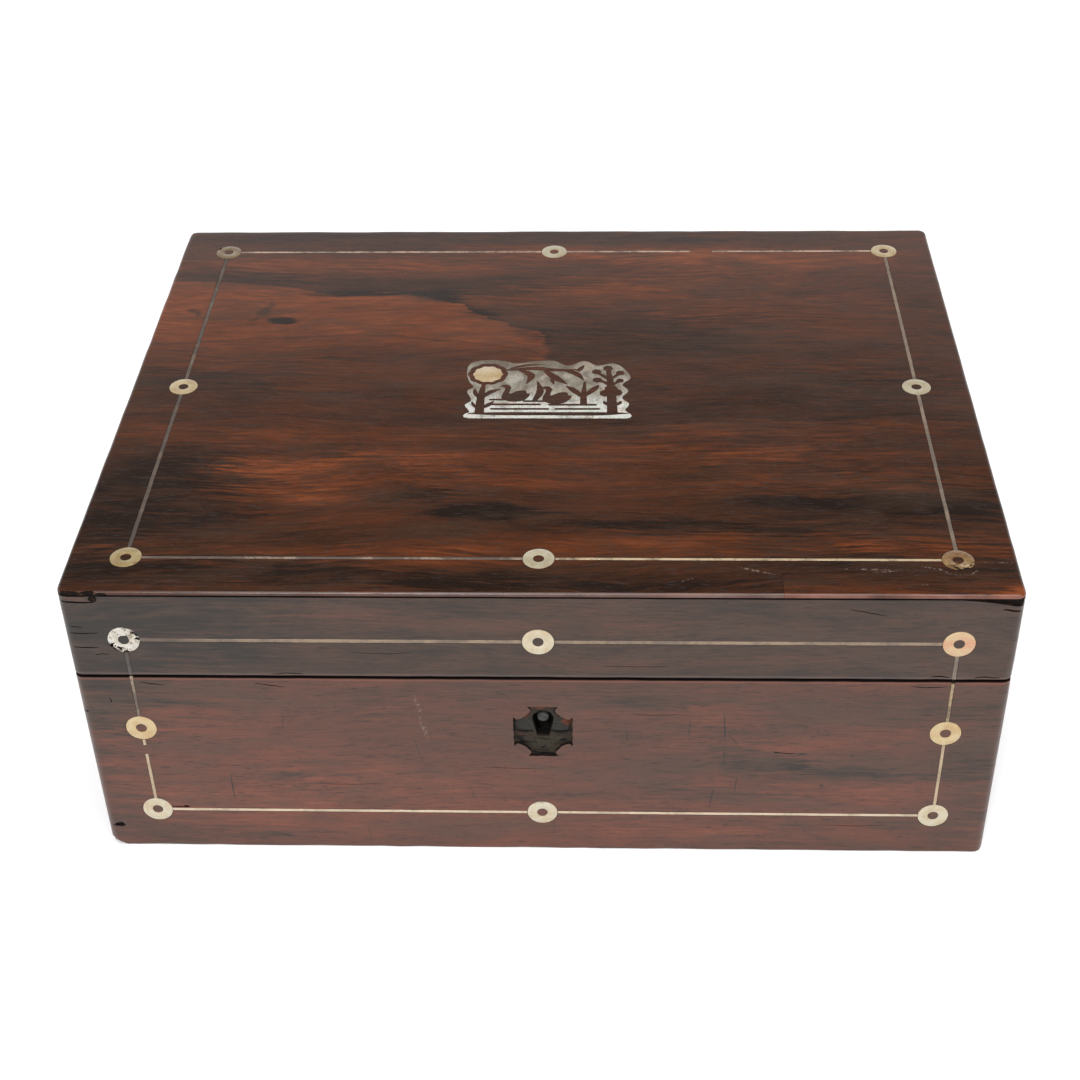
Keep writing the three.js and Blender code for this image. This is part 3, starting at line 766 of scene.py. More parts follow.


# Half the height of the painted shade in the gap between lid and case, where the glue under the
# lid's top begins, and the heights of a thin red line on the case and of a pale one on the lid,
# partly wear and partly a painted highlight
rims = {"dirt": 0.62, "glue": veneerTop - 0.72, "red": 76.9, "pale": 79.3}


# How dark the rims are at a height: painted shade in the gap between lid and case, and the dark
# glue line under the lid's top
def rimShadeAndGlue(tree, height, wander):
    middle = (caseTop + lidBottom) / 2
    far = calc(tree, "ABSOLUTE", added(tree, (height, 1.0), (1.0, -middle)))
    rim = ranged(tree, far, rims["dirt"] + 0.14, rims["dirt"] - 0.1)
    above = added(tree, (height, 1.0), (wander, 0.5), (1.0, -0.25 - rims["glue"]))
    return calc(tree, "MAXIMUM", rim, ranged(tree, above, -0.1, 0.15))


def redRim(tree, height):
    far = calc(tree, "ABSOLUTE", added(tree, (height, 1.0), (1.0, -rims["red"])))
    return ranged(tree, far, 0.45, 0.1)


def rosewood(w, figure=None, marks=(), scuffs=()):
    material, tree, shader = newMaterial(w["name"])
    place = millimetres(tree)
    parts = apart(tree, place)
    along, across, through = (parts[axis] for axis in w["axes"])
    flat = vectorOf(tree, along, across)
    sway = cloud(tree, flat, (0.007, 0.016, 1), detail=2)
    ripple = cloud(tree, flat, (0.05, 0.11, 1), shift=(7, 3, 0), detail=3, roughness=0.6)
    level = added(tree, (sway, w["sway"]), (ripple, 2.2), (across, 1.0))
    grain = vectorOf(tree, along, level, through)
    bands = cloud(tree, grain, (0.012, 0.080, 0.01), detail=3, roughness=0.55)
    mottle = cloud(tree, grain, (0.030, 0.095, 0.01), shift=(6, 2, 0), detail=6, roughness=0.66,
                   distortion=0.35)
    lines = cloud(tree, grain, (0.010, 0.60, 0.01), shift=(1, 4, 0), detail=4, roughness=0.6)
    streaks = cloud(tree, grain, (0.045, 0.66, 0.01), shift=(5, 0, 0), detail=5, roughness=0.68)
    fine = w["fine"]
    fibre = cloud(tree, grain, (0.13, fine, 0.02), shift=(9, 0, 0), detail=4, roughness=0.72)
    hairNoise = cloud(tree, grain, (0.06, fine, 0.02), shift=(3, 9, 0), detail=2)
    nickNoise = cloud(tree, flat, (1.3, 0.22, 1), shift=(2, 5, 0), detail=2, roughness=0.6)
    greyNoise = cloud(tree, grain, (0.024, 0.085, 0.01), shift=(9, 6, 0), detail=5, roughness=0.64,
                      distortion=0.5)
    poreNoise = cloud(tree, grain, (0.20, 1.9 * fine, 0.02), shift=(2, 0, 0), detail=1)
    pore = ranged(tree, poreNoise, 0.63, 0.70)
    hair = ranged(tree, hairNoise, 0.60, 0.66)
    sorts = {"bands": bands, "mottle": mottle, "lines": lines, "streaks": streaks, "fibre": fibre}
    middle = 0.5 * sum(w[sort] for sort in sorts)
    tone = added(tree, *[(cloudy, w[sort]) for sort, cloudy in sorts.items()],
                 (1.0, w["level"] - middle))
    if figure:
        wobble = vectorOf(tree, added(tree, (sway, 16), (ripple, 9), (1.0, -12.5)),
                          added(tree, (sway, 5), (ripple, 5), (1.0, -5)))
        bent = put(tree, "VectorMath", {0: flat, 1: wobble}, operation="ADD").outputs[0]
        pull = vectorOf(tree, added(tree, (streaks, 56), (lines, 30), (1.0, -43)))
        feathered = put(tree, "VectorMath", {0: bent, 1: pull}, operation="ADD").outputs[0]
        tone = added(tree, (figure(tree, bent, feathered, streaks, ripple), 1.0), (tone, 1.0))
    for start, end, width, depth in marks:
        tone = added(tree, (stroke(tree, flat, start, end, width), depth), (tone, 1.0))
    base = ramp(tree, tone, *w["tones"])
    greyed = times(tree, ranged(tree, greyNoise, 0.50, 0.62), w["greyed"])
    base = mixed(tree, greyed, base, w["grey"])
    dark = colour(0.010, 0.007, 0.006)
    base = mixed(tree, times(tree, hair, w["hair"]), base, dark)
    nick = times(tree, ranged(tree, nickNoise, 0.63, 0.71), w["nicks"])
    base = mixed(tree, nick, base, dark)
    base = mixed(tree, times(tree, pore, w["pores"]), base, dark)
    gapShadeAndGlue = 0.0
    # The rounded front edge is painted paler: partly real wear, partly a painted highlight, fading
    # towards the left
    if "edge" in w:
        worn = times(tree, ranged(tree, across, front + 1.0, front + 0.4),
                     ranged(tree, ripple, 0.36, 0.62, 0.25, w["worn"]))
        worn = times(tree, worn, ranged(tree, along, -140, 60, 0.1, 1.0))
        base = mixed(tree, worn, base, w["edge"])
    if w["axes"][1] == 2:
        # A pale line along the lid's lower edge: partly wear, partly a painted highlight
        pale = times(tree, ranged(tree, calc(tree, "ABSOLUTE", added(
            tree, (across, 1.0), (1.0, -rims["pale"]))), 0.4, 0.1), 0.22)
        base = mixed(tree, pale, base, colour(0.16, 0.13, 0.12))
        redLine = times(tree, redRim(tree, across), 0.45)
        base = mixed(tree, redLine, base, colour(0.19, 0.056, 0.033))
        # Painted shade in the gap between lid and case, and the dark glue line under the lid's top;
        # it also dulls the gloss
        gapShadeAndGlue = rimShadeAndGlue(tree, across, streaks)
        base = mixed(tree, times(tree, gapShadeAndGlue, 0.96), base, colour(0.004, 0.003, 0.003))
    speckNoise = cloud(tree, flat, (2.3, 2.1, 1), shift=(4, 4, 0), detail=2, roughness=0.7)
    dust = times(tree, ranged(tree, speckNoise, 0.66, 0.75), w["dust"])
    for start, end, width in scuffs:
        mark = stroke(tree, flat, start, end, width)
        rubbed = ranged(tree, cloud(tree, flat, (0.9, 0.9, 1), detail=3), 0.48, 0.6)
        dust = added(tree, (times(tree, mark, rubbed), w["scuffed"]), (dust, 1.0))
    base = mixed(tree, dust, base, colour(0.52, 0.46, 0.40))
    dull = cloud(tree, flat, (0.03, 0.05, 1), shift=(1, 6, 0), detail=4, roughness=0.6)
    low, high = w["roughness"]
    rough = added(tree, (ranged(tree, dull, 0.3, 0.7, low, high), 1.0), (pore, 0.2), (dust, 0.5),
                  (gapShadeAndGlue, 0.5))
    height = added(tree, (fibre, 0.5), (pore, w["poreDepth"]), (hair, 0.5 * w["poreDepth"]))
    plug(tree, shader, base=base, rough=rough, normal=bumped(tree, height, 0.35, 0.03))
    gloss = times(tree, calc(tree, "SUBTRACT", 1.0, gapShadeAndGlue), w["gloss"])
    tree.links.new(gloss, shader.inputs["Specular IOR Level"])
    return material


woods = {
    "top": rosewood(topWood, topFigure, scuffs=topScuffs),
    "front": rosewood(frontWood, frontFigure, frontMarks, scrapes),
    "side": rosewood(sideWood, plainFigure),
    "back": rosewood(backWood, plainFigure),
    "patch": rosewood(patchWood, patchFigure, scuffs=topScuffs),
}

print("other finishes")

bareWood = {
    "pale": colour(0.16, 0.085, 0.050),
    "dark": colour(0.070, 0.034, 0.020),
    "glue": colour(0.008, 0.006, 0.005),
    "roughness": 0.72,
}


# The boards under the veneer, with their grain along one axis and dark glue on the outside
def boardMaterial(name, along, w):
    material, tree, shader = newMaterial(name)
    place = millimetres(tree)
    fine = [2.2, 2.2, 2.2]
    broad = [0.10, 0.10, 0.10]
    fine[along] = 0.05
    broad[along] = 0.006
    fibre = cloud(tree, place, fine, detail=4, roughness=0.6)
    band = cloud(tree, place, broad, shift=(3, 3, 3), detail=3)
    tone = added(tree, (fibre, 0.6), (band, 0.8), (1.0, -0.2))
    base = mixed(tree, tone, w["dark"], w["pale"])
    stain = cloud(tree, place, (0.03, 0.03, 0.03), detail=4, roughness=0.6)
    base = mixed(tree, ranged(tree, stain, 0.5, 0.75, 0, 0.5), base, w["dark"])
    parts = apart(tree, place)
    outX = calc(tree, "ABSOLUTE", parts[0])
    outY = calc(tree, "ABSOLUTE", parts[1])
    glue = calc(tree, "MAXIMUM", ranged(tree, outX, sideBack - 0.3, sideBack),
                ranged(tree, outY, -frontBack - 0.3, -frontBack))
    glue = calc(tree, "MAXIMUM", glue, ranged(tree, parts[2], veneerTop - 0.3, veneerTop))
    base = mixed(tree, glue, base, w["glue"])
    height = added(tree, (fibre, 1.0))
    plug(tree, shader, base=base, normal=bumped(tree, height, 0.5, 0.08))
    shader.inputs["Roughness"].default_value = w["roughness"]
    return material


boards = {"x": boardMaterial("boardAcross", 0, bareWood),
          "y": boardMaterial("boardDeep", 1, bareWood)}

# Dirt and old glue where the veneer is cut or broken, darkened further as painted shade inside
# cracks and chips
def dirtAndShadeMaterial():
    material, tree, shader = newMaterial("dirtyWood")
    place = millimetres(tree)
    lumps = cloud(tree, place, (0.9, 0.9, 0.9), detail=4, roughness=0.6)
    base = mixed(tree, ranged(tree, lumps, 0.5, 0.72), colour(0.0065, 0.005, 0.0045),
                 colour(0.030, 0.015, 0.010))
    plug(tree, shader, base=base, normal=bumped(tree, lumps, 0.4, 0.1))
    shader.inputs["Roughness"].default_value = 0.9
    shader.inputs["Specular IOR Level"].default_value = 0.08
    return material


dirtAndShadeFinish = dirtAndShadeMaterial()

# Mother of pearl for the rings: pale and warm tones, how much brown stain, and how flaked it is
shells = {
    "clean": {"pale": (0.47, 0.41, 0.31), "warm": (0.42, 0.33, 0.215), "stain": 0.30},
    "pink": {"pale": (0.45, 0.34, 0.19), "warm": (0.45, 0.235, 0.14), "stain": 0.16},
    "gold": {"pale": (0.45, 0.34, 0.19), "warm": (0.40, 0.26, 0.12), "stain": 0.26},
    "chalk": {"pale": (0.56, 0.54, 0.50), "warm": (0.36, 0.30, 0.24), "stain": 0.40,
              "flaked": 0.9},
    "grey": {"pale": (0.33, 0.29, 0.21), "warm": (0.26, 0.215, 0.14), "stain": 0.30},
    "cream": {"pale": (0.36, 0.28, 0.17), "warm": (0.28, 0.20, 0.11), "stain": 0.28},
    "yellow": {"pale": (0.29, 0.22, 0.115), "warm": (0.20, 0.14, 0.062), "stain": 0.50},
    "brown": {"pale": (0.17, 0.125, 0.078), "warm": (0.11, 0.074, 0.042), "stain": 0.7},
    "amber": {"pale": (0.22, 0.135, 0.055), "warm": (0.11, 0.050, 0.018), "stain": 0.8,
              "flaked": 0.8},
}


def shellMaterial(name, s):
    material, tree, shader = newMaterial(name)
    place = millimetres(tree)
    soft = cloud(tree, place, (0.22, 0.22, 0.22), detail=2, distortion=0.6)
    fine = cloud(tree, place, (1.1, 1.1, 1.1), shift=(4, 2, 1), detail=4, roughness=0.65)
    base = mixed(tree, ranged(tree, soft, 0.35, 0.65), colour(*s["pale"]), colour(*s["warm"]))
    spots = added(tree, (ranged(tree, fine, 0.46, 0.72), s["stain"]))
    base = mixed(tree, spots, base, colour(0.15, 0.085, 0.035))
    flakes = cloud(tree, place, (0.55, 0.55, 0.55), shift=(1, 9, 4), detail=5, roughness=0.7)
    flakes = ranged(tree, flakes, 0.56, 0.60, 0, s.get("flaked", 0.0))
    base = mixed(tree, flakes, base, colour(0.12, 0.06, 0.028))
    sheen = cloud(tree, place, (0.5, 0.5, 0.5), shift=(8, 1, 5), detail=1)
    tint = ramp(tree, sheen, (0.3, colour(1.0, 0.93, 0.90)), (0.45, colour(0.93, 1.0, 0.95)),
                (0.6, colour(0.95, 0.97, 1.0)), (0.75, colour(1.0, 1.0, 0.94)))
    base = mixed(tree, 0.8, base, tint, blend="MULTIPLY")
    rough = ranged(tree, fine, 0.3, 0.7, 0.18, 0.42)
    plug(tree, shader, base=base, rough=rough, normal=bumped(tree, fine, 0.25, 0.03))
    shader.inputs["Specular IOR Level"].default_value = 0.55
    return material


shellFinishes = {key: shellMaterial("shell" + key.title(), s) for key, s in shells.items()}
ringFinish = {
    "ring_top_back_left": "brown", "ring_top_back_middle": "grey",
    "ring_top_back_right": "cream", "ring_top_left": "cream", "ring_top_right": "grey",
    "ring_top_front_left": "yellow", "ring_top_front_middle": "grey",
    "ring_top_front_right": "amber", "ring_lid_left": "chalk", "ring_lid_right": "pink",
    "ring_case_right": "gold", "ring_case_left": "gold",
}

# Line metals, bright and tarnished, how much of a line is bright, and where one fades away
metals = {
    "bottom": {"bright": (0.50, 0.40, 0.29), "dull": (0.36, 0.285, 0.20), "share": 0.6},
    "rise": {"bright": (0.39, 0.30, 0.20), "dull": (0.29, 0.22, 0.145), "share": 0.6},
    "upper": {"bright": (0.25, 0.19, 0.13), "dull": (0.10, 0.076, 0.058), "share": 0.4},
    "upperRight": {"bright": (0.32, 0.235, 0.135), "dull": (0.13, 0.095, 0.062), "share": 0.5},
    "lidFront": {"bright": (0.23, 0.165, 0.11), "dull": (0.14, 0.105, 0.080), "share": 0.55,
                 "fade": (-84, -118)},
    "lidLeft": {"bright": (0.085, 0.070, 0.060), "dull": (0.055, 0.045, 0.040), "share": 0.4},
    "lidRight": {"bright": (0.17, 0.135, 0.105), "dull": (0.11, 0.088, 0.070), "share": 0.5},
    "frontLeft": {"bright": (0.28, 0.21, 0.15), "dull": (0.085, 0.065, 0.052), "share": 0.35},
    "frontRight": {"bright": (0.42, 0.32, 0.20), "dull": (0.13, 0.095, 0.065), "share": 0.65},
    "back": {"bright": (0.38, 0.27, 0.20), "dull": (0.12, 0.085, 0.065), "share": 0.55},
    "pewterLeft": {"bright": (0.12, 0.086, 0.062), "dull": (0.060, 0.043, 0.034), "share": 0.45},
    "pewterRight": {"bright": (0.20, 0.145, 0.105), "dull": (0.115, 0.085, 0.063), "share": 0.5},
}


# Thin metal line, patchy with tarnish along its length
def lineMaterial(name, m):
    material, tree, shader = newMaterial("line" + name[0].upper() + name[1:])
    place = millimetres(tree)
    patchy = cloud(tree, place, (0.10, 0.10, 0.10), shift=(6, 1, 2), detail=5, roughness=0.72)
    fine = cloud(tree, place, (1.6, 1.6, 1.6), detail=3, roughness=0.6)
    tarnish = added(tree, (patchy, 0.75), (fine, 0.25))
    middle = 0.34 + 0.3 * m["share"]
    base = mixed(tree, ranged(tree, tarnish, middle - 0.06, middle + 0.07),
                 colour(*m["bright"]), colour(*m["dull"]))
    if "fade" in m:
        across = apart(tree, place)[0]
        faded = ranged(tree, across, *m["fade"], 0, 0.8)
        base = mixed(tree, faded, base, colour(0.070, 0.054, 0.044))
    rough = ranged(tree, tarnish, 0.35, 0.65, 0.38, 0.6)
    plug(tree, shader, base=base, rough=rough, normal=bumped(tree, fine, 0.4, 0.05))
    shader.inputs["Metallic"].default_value = 0.35
    return material


lineFinishes = {key: lineMaterial(key, m) for key, m in metals.items()}
lineFinish = {
    "line_top_left": "pewterLeft", "line_top_right": "pewterRight", "line_top_back": "back",
    "line_top_front_left": "frontLeft", "line_top_front_right": "frontRight",
    "line_lid_front": "lidFront", "line_lid_left": "lidLeft", "line_lid_right": "lidRight",
    "line_case_bottom": "bottom", "line_case_left_upper": "upper",
    "line_case_right_upper": "upperRight", "line_case": "rise",
}


# The finish of the longest name that a line's name starts with
def metalOf(node):
    known = [start for start in lineFinish if node.startswith(start)]
    return lineFinishes[lineFinish[max(known, key=len)]]


# The plaque's mother of pearl: streaky and whitened below by a painted highlight, browner along its
# upper edge
pearl = {
    "pale": colour(0.27, 0.23, 0.19),
    "grey": colour(0.140, 0.112, 0.086),
    "brown": colour(0.080, 0.053, 0.033),
    "white": colour(0.50, 0.48, 0.44),
    "tints": [(0.25, colour(1.0, 0.88, 0.86)), (0.42, colour(0.88, 1.0, 0.94)),
              (0.55, colour(0.92, 0.95, 1.0)), (0.7, colour(1.0, 0.97, 0.86)),
              (0.85, colour(0.94, 0.88, 1.0))],
}


def pearlMaterial(p):
    material, tree, shader = newMaterial("pearl")
    place = millimetres(tree)
    parts = apart(tree, place)
    up = parts[1]
    cells = cloud(tree, place, (0.16, 0.11, 0.1), detail=2, distortion=0.8)
    streak = cloud(tree, place, (0.55, 0.08, 0.1), shift=(3, 2, 0), detail=3, roughness=0.6)
    base = mixed(tree, ranged(tree, cells, 0.38, 0.62), p["pale"], p["grey"])
    # Painted highlight: the shell is whitened towards its lower edge
    low = ranged(tree, added(tree, (up, 1.0), (streak, -14.0), (cells, -8.0)), -14, -24)
    base = mixed(tree, times(tree, low, 0.85), base, p["white"])
    high = ranged(tree, added(tree, (up, 1.0), (streak, 8.0), (cells, 14.0)), 18, 32)
    base = mixed(tree, times(tree, high, 0.75), base, p["brown"])
    stain = cloud(tree, place, (0.24, 0.30, 0.1), shift=(5, 1, 0), detail=4, roughness=0.62)
    base = mixed(tree, ranged(tree, stain, 0.50, 0.66, 0, 0.55), base, p["brown"])
    hue = cloud(tree, place, (0.13, 0.17, 0.1), shift=(1, 7, 0), detail=2, distortion=1.0)
    base = mixed(tree, 0.9, base, ramp(tree, hue, *p["tints"]), blend="MULTIPLY")
    fine = cloud(tree, place, (1.4, 1.4, 1), detail=3)
    base = mixed(tree, ranged(tree, fine, 0.52, 0.75, 0, 0.6), base, p["brown"])
    rough = ranged(tree, streak, 0.3, 0.7, 0.14, 0.34)
    plug(tree, shader, base=base, rough=rough, normal=bumped(tree, cells, 0.3, 0.25))
    shader.inputs["Specular IOR Level"].default_value = 0.6
    return material


def sunMaterial():
    material, tree, shader = newMaterial("creamShell")
    place = millimetres(tree)
    broad = cloud(tree, place, (0.2, 0.35, 0.1), shift=(2, 2, 0), detail=2)
    fine = cloud(tree, place, (0.9, 0.5, 1), detail=4, roughness=0.6)
    base = mixed(tree, ranged(tree, broad, 0.35, 0.65), colour(0.33, 0.255, 0.15),
                 colour(0.27, 0.18, 0.085))
    base = mixed(tree, ranged(tree, fine, 0.5, 0.75, 0, 0.5), base, colour(0.38, 0.33, 0.24))
    side = apart(tree, place)[0]
    side = ranged(tree, added(tree, (side, 1.0), (fine, 3.0)), -16.6, -14.5)
    base = mixed(tree, times(tree, side, 0.5), base, colour(0.25, 0.12, 0.04))
    plug(tree, shader, base=base, normal=bumped(tree, fine, 0.25, 0.04))
    shader.inputs["Roughness"].default_value = 0.3
    return material


def steelMaterial(name, bright, dark, roughness):
    material, tree, shader = newMaterial(name)
    place = millimetres(tree)
    rust = cloud(tree, place, (0.5, 0.5, 0.5), detail=5, roughness=0.65)
    base = mixed(tree, ranged(tree, rust, 0.42, 0.62), bright, dark)
    rough = ranged(tree, rust, 0.35, 0.65, roughness, roughness + 0.25)
    plug(tree, shader, base=base, rough=rough, normal=bumped(tree, rust, 0.4, 0.05))
    shader.inputs["Metallic"].default_value = 0.7
    return material


pearlFinish = pearlMaterial(pearl)
sunFinish = sunMaterial()
# The lock's steel is painted near black, as painted shade behind the keyhole
shadedLockSteel = steelMaterial("steel", colour(0.030, 0.027, 0.023), colour(0.010, 0.008, 0.006), 0.5)
pinFinish = steelMaterial("pinSteel", colour(0.070, 0.072, 0.066), colour(0.034, 0.033, 0.029), 0.6)

# The floor of the lost lock plate's recess: old glue, torn wood and rust, with painted shade deep
# in the keyhole
recessLook = {
    "wood": colour(0.022, 0.013, 0.009),
    "glue": colour(0.026, 0.020, 0.011),
    "grey": colour(0.019, 0.018, 0.015),
    "orange": colour(0.075, 0.021, 0.010),
    "brown": colour(0.040, 0.017, 0.010),
    "black": colour(0.003, 0.0025, 0.002),
    # middle across and up, half sizes, and the colour there
    "patches": [
        (-4.9, 57.4, 3.4, 3.0, "grey"), (6.4, 57.0, 2.8, 3.0, "grey"),
        (0.6, 47.6, 5.0, 3.0, "glue"),
        (4.6, 50.4, 3.6, 1.6, "glue"), (-1.8, 64.9, 3.8, 1.1, "orange"),
        (-4.4, 62.4, 1.0, 2.0, "orange"),
        (-7.6, 60.0, 1.6, 0.9, "brown"), (8.4, 58.6, 1.9, 1.5, "orange"),
        (-6.2, 52.6, 2.2, 0.9, "brown"),
        (7.6, 61.2, 1.6, 0.8, "black"), (-7.0, 50.8, 2.0, 0.7, "black"),
        (-8.4, 58.5, 0.6, 4.0, "black"),
        (0.8, 44.4, 4.6, 0.5, "black"), (0.9, 47.0, 0.9, 0.5, "black"),
        (5.2, 63.8, 0.8, 2.0, "black"),
        (-5.4, 49.6, 1.4, 0.8, "black"), (7.4, 50.2, 1.4, 0.7, "black"),
        (-3.0, 49.2, 2.0, 0.3, "black"),
    ],
    "cracks": [((-9.4, 54.5), (-2.6, 54.2), 1.3), ((3.2, 53.8), (11.2, 54.5), 1.3),
               ((-8.0, 51.6), (-4.2, 51.9), 0.4), ((-3.4, 45.8), (4.4, 45.4), 0.4),
               ((-2.6, 50.9), (5.0, 50.7), 0.35)],
}


def recessMaterial(r):
    material, tree, shader = newMaterial("recessWood")
    place = millimetres(tree)
    parts = apart(tree, place)
    rough = cloud(tree, place, (0.45, 0.45, 0.45), detail=4, roughness=0.6)
    fine = cloud(tree, place, (1.5, 1.5, 1.5), shift=(2, 5, 1), detail=4, roughness=0.65)
    flat = vectorOf(tree, added(tree, (rough, 3.0), (fine, 1.2), (parts[0], 1.0), (1.0, -2.1)),
                    added(tree, (rough, 2.0), (fine, 1.2), (parts[2], 1.0), (1.0, -1.6)))
    base = mixed(tree, ranged(tree, fine, 0.35, 0.65), r["wood"], r["glue"])
    for x, z, wide, high, name in r["patches"]:
        base = mixed(tree, oval(tree, flat, x, z, wide, high, 0.25), base, r[name])
    straight = vectorOf(tree, parts[0], added(tree, (rough, 0.8), (parts[2], 1.0), (1.0, -0.4)))
    for start, end, width in r["cracks"]:
        base = mixed(tree, stroke(tree, straight, start, end, width), base, r["black"])
    base = mixed(tree, ranged(tree, fine, 0.52, 0.66, 0, 0.75), base, r["black"])
    # Painted shade: the keyhole's inside, past the recess floor, is painted black
    deep = ranged(tree, parts[1], frontBack + 0.85, frontBack + 1.1)
    base = mixed(tree, deep, base, r["black"])
    plug(tree, shader, base=base, normal=bumped(tree, fine, 0.7, 0.3))
    shader.inputs["Roughness"].default_value = 0.65
    shader.inputs["Specular IOR Level"].default_value = 0.2
    return material


recessFinish = recessMaterial(recessLook)

print("outer forms")

form = {
    "uprightRadius": 3.0,
    "topRadius": 0.85,
    "rimRadius": 0.5,
    "step": 7.0,
    "holding": (0.15, 1.0),  # cuts beside a rounded edge, which keep the shading of the flats flat
    "fineStep": 0.7,
    "wear": 0.20,
    "wearScale": 0.13,
    "cornerMiddle": (-140, -108, 10),  # a ball that rounds the case's worn lower left corner
    "cornerRadius": 14.6,
    "cornerReach": 7.0,
}


# Rubs the edges unevenly: moves what lies near two outer faces inwards
def rubEdges(piece, low, high, f):
    def rule(p):
        gaps = [min(p[i] - low[i], high[i] - p[i]) for i in range(3)]
        second = sorted(gaps)[1]
        if second > 1.3:
            return p
        worn = max(0.0, noise.noise(p * f["wearScale"]) + 0.25) + 0.5 * abs(noise.noise(p * 0.6))
        worn *= f["wear"] * (1.3 - second) / 1.3
        inward = [0.0, 0.0, 0.0]
        for i in range(3):
            if gaps[i] < 3.2:
                inward[i] = worn if p[i] - low[i] < high[i] - p[i] else -worn
        return p + Vector(inward)
    reshape(piece, rule)


def makeForm(name, bottom, height, f, topRadius, bottomRadius, wornCorner=False):
    low = (outerLow[0], outerLow[1], bottom)
    high = (outerHigh[0], outerHigh[1], height)
    piece = block(name, low, high)
    bevelEdges(piece, lambda a, b: abs(a.z - b.z) > 1, f["uprightRadius"], 6)
    bevelEdges(piece, lambda a, b: min(a.z, b.z) > height - 0.01, topRadius, 3)
    bevelEdges(piece, lambda a, b: max(a.z, b.z) < bottom + 0.01, bottomRadius, 2)
    slice(piece, 0, between(low[0] + 3, high[0] - 3, f["step"]))
    slice(piece, 1, between(low[1] + 3, high[1] - 3, f["step"]))
    slice(piece, 2, between(bottom + 1, height - 1, f["step"]))
    for axis, radius in ((0, topRadius), (1, topRadius), (0, f["uprightRadius"]),
                         (1, f["uprightRadius"])):
        slice(piece, axis, [low[axis] + radius + reach for reach in f["holding"]])
        slice(piece, axis, [high[axis] - radius - reach for reach in f["holding"]])
    slice(piece, 2, [bottom + bottomRadius + f["holding"][0], height - topRadius - f["holding"][0]])
    if wornCorner:
        fine = [f["fineStep"] * (i + 1) for i in range(round(f["cornerReach"] / f["fineStep"]))]
        slice(piece, 0, [low[0] + reach for reach in fine])
        slice(piece, 1, [low[1] + reach for reach in fine])
        slice(piece, 2, [bottom + reach for reach in fine])
        middle = Vector(f["cornerMiddle"])
        reach = f["cornerReach"]

        def rule(p):
            near = p.x < low[0] + reach and p.y < low[1] + reach and p.z < bottom + reach
            away = p - middle
            if near and away.length > f["cornerRadius"]:
                return middle + away.normalized() * f["cornerRadius"]
            return p
        reshape(piece, rule)
    rubEdges(piece, low, high, f)
    return piece


caseForm = makeForm("caseForm", outerLow[2], caseTop, form, form["rimRadius"], 0.5, True)
lidForm = makeForm("lidForm", lidBottom, top, form, form["topRadius"], form["rimRadius"])

print("cutters")

past = 1.0  # a cutter runs past the face that it cuts
inlay = {
    "groove": 0.8,
    "gap": 0.07,
    "bevel": 0.09,
    "ringSides": 64,
    "wobble": 0.07,
    "lineBevel": 0.05,
    "lineStep": 3.0,
    "lineWobble": 0.05,
    "wider": {"line_top_left": 0.16, "line_top_right": 0.12, "line_lid": 0.12},
}


# A ring lying flat, shaped from a round plate: its caps are inset and bridged to open the hole
def plainRing(name, x, y, outer, hole, low, high, sides):
    deselectAll()
    bpy.ops.mesh.primitive_cylinder_add(vertices=sides, radius=outer * mm, depth=(high - low) * mm,
                                        location=(x * mm, y * mm, (low + high) / 2 * mm))
    piece = settle(bpy.context.object, name)
    edit(piece, "FACE")
    bpy.ops.mesh.select_all(action="DESELECT")
    leaveEdit()
    for face in piece.data.polygons:
        face.select = abs(face.normal.z) > 0.9
    edit(piece, "FACE")
    bpy.ops.mesh.inset(thickness=(outer - hole) * mm)
    bpy.ops.mesh.bridge_edge_loops()
    leaveEdit()
    return piece


# Middle, outer and inner radius of a ring's CAD node, and whether it stands in the front
def ringPlace(node):
    low, high = nodeBox(node)
    upright = not node.startswith("ring_top")
    second = 2 if upright else 1
    x, y = (low[0] + high[0]) / 2, (low[second] + high[second]) / 2
    return x, y, (high[0] - low[0]) / 2, upright


ringHole = 3.5 / 2


# A line's box, grown on both sides where the line looks wider than most
def widerLine(node, low, high, side):
    more = max([value for start, value in inlay["wider"].items() if node.startswith(start)] + [0])
    low, high = list(low), list(high)
    low[side] -= more
    high[side] += more
    return low, high


def pocket(node):
    low, high = nodeBox(node)
    gap = inlay["gap"]
    if node.startswith("ring_"):
        x, y, outer, upright = ringPlace(node)
        level = -front if upright else top
        piece = plainRing("pocket", x, y, outer + gap, ringHole - gap, level - inlay["groove"],
                          level + past, inlay["ringSides"])
        return stand(piece) if upright else piece
    face = 2 if node.startswith("line_top") else 1
    axis = max(range(3), key=lambda i: high[i] - low[i])
    low, high = widerLine(node, low, high, 3 - axis - face)
    low = [value - gap for value in low]
    high = [value + gap for value in high]
    if node.startswith("line_top"):
        low[2], high[2] = top - inlay["groove"], top + past
    else:
        low[1], high[1] = front - past, front + inlay["groove"]
    if node in ("line_lid_left", "line_lid_right"):
        low[2] -= past
    if node.endswith("_upper"):
        high[2] += past
    return block("pocket", low, high)


def pocketsIn(host):
    names = [node for node in inlays if node.split("_")[1] == host]
    return joined([pocket(node) for node in names], "pockets")


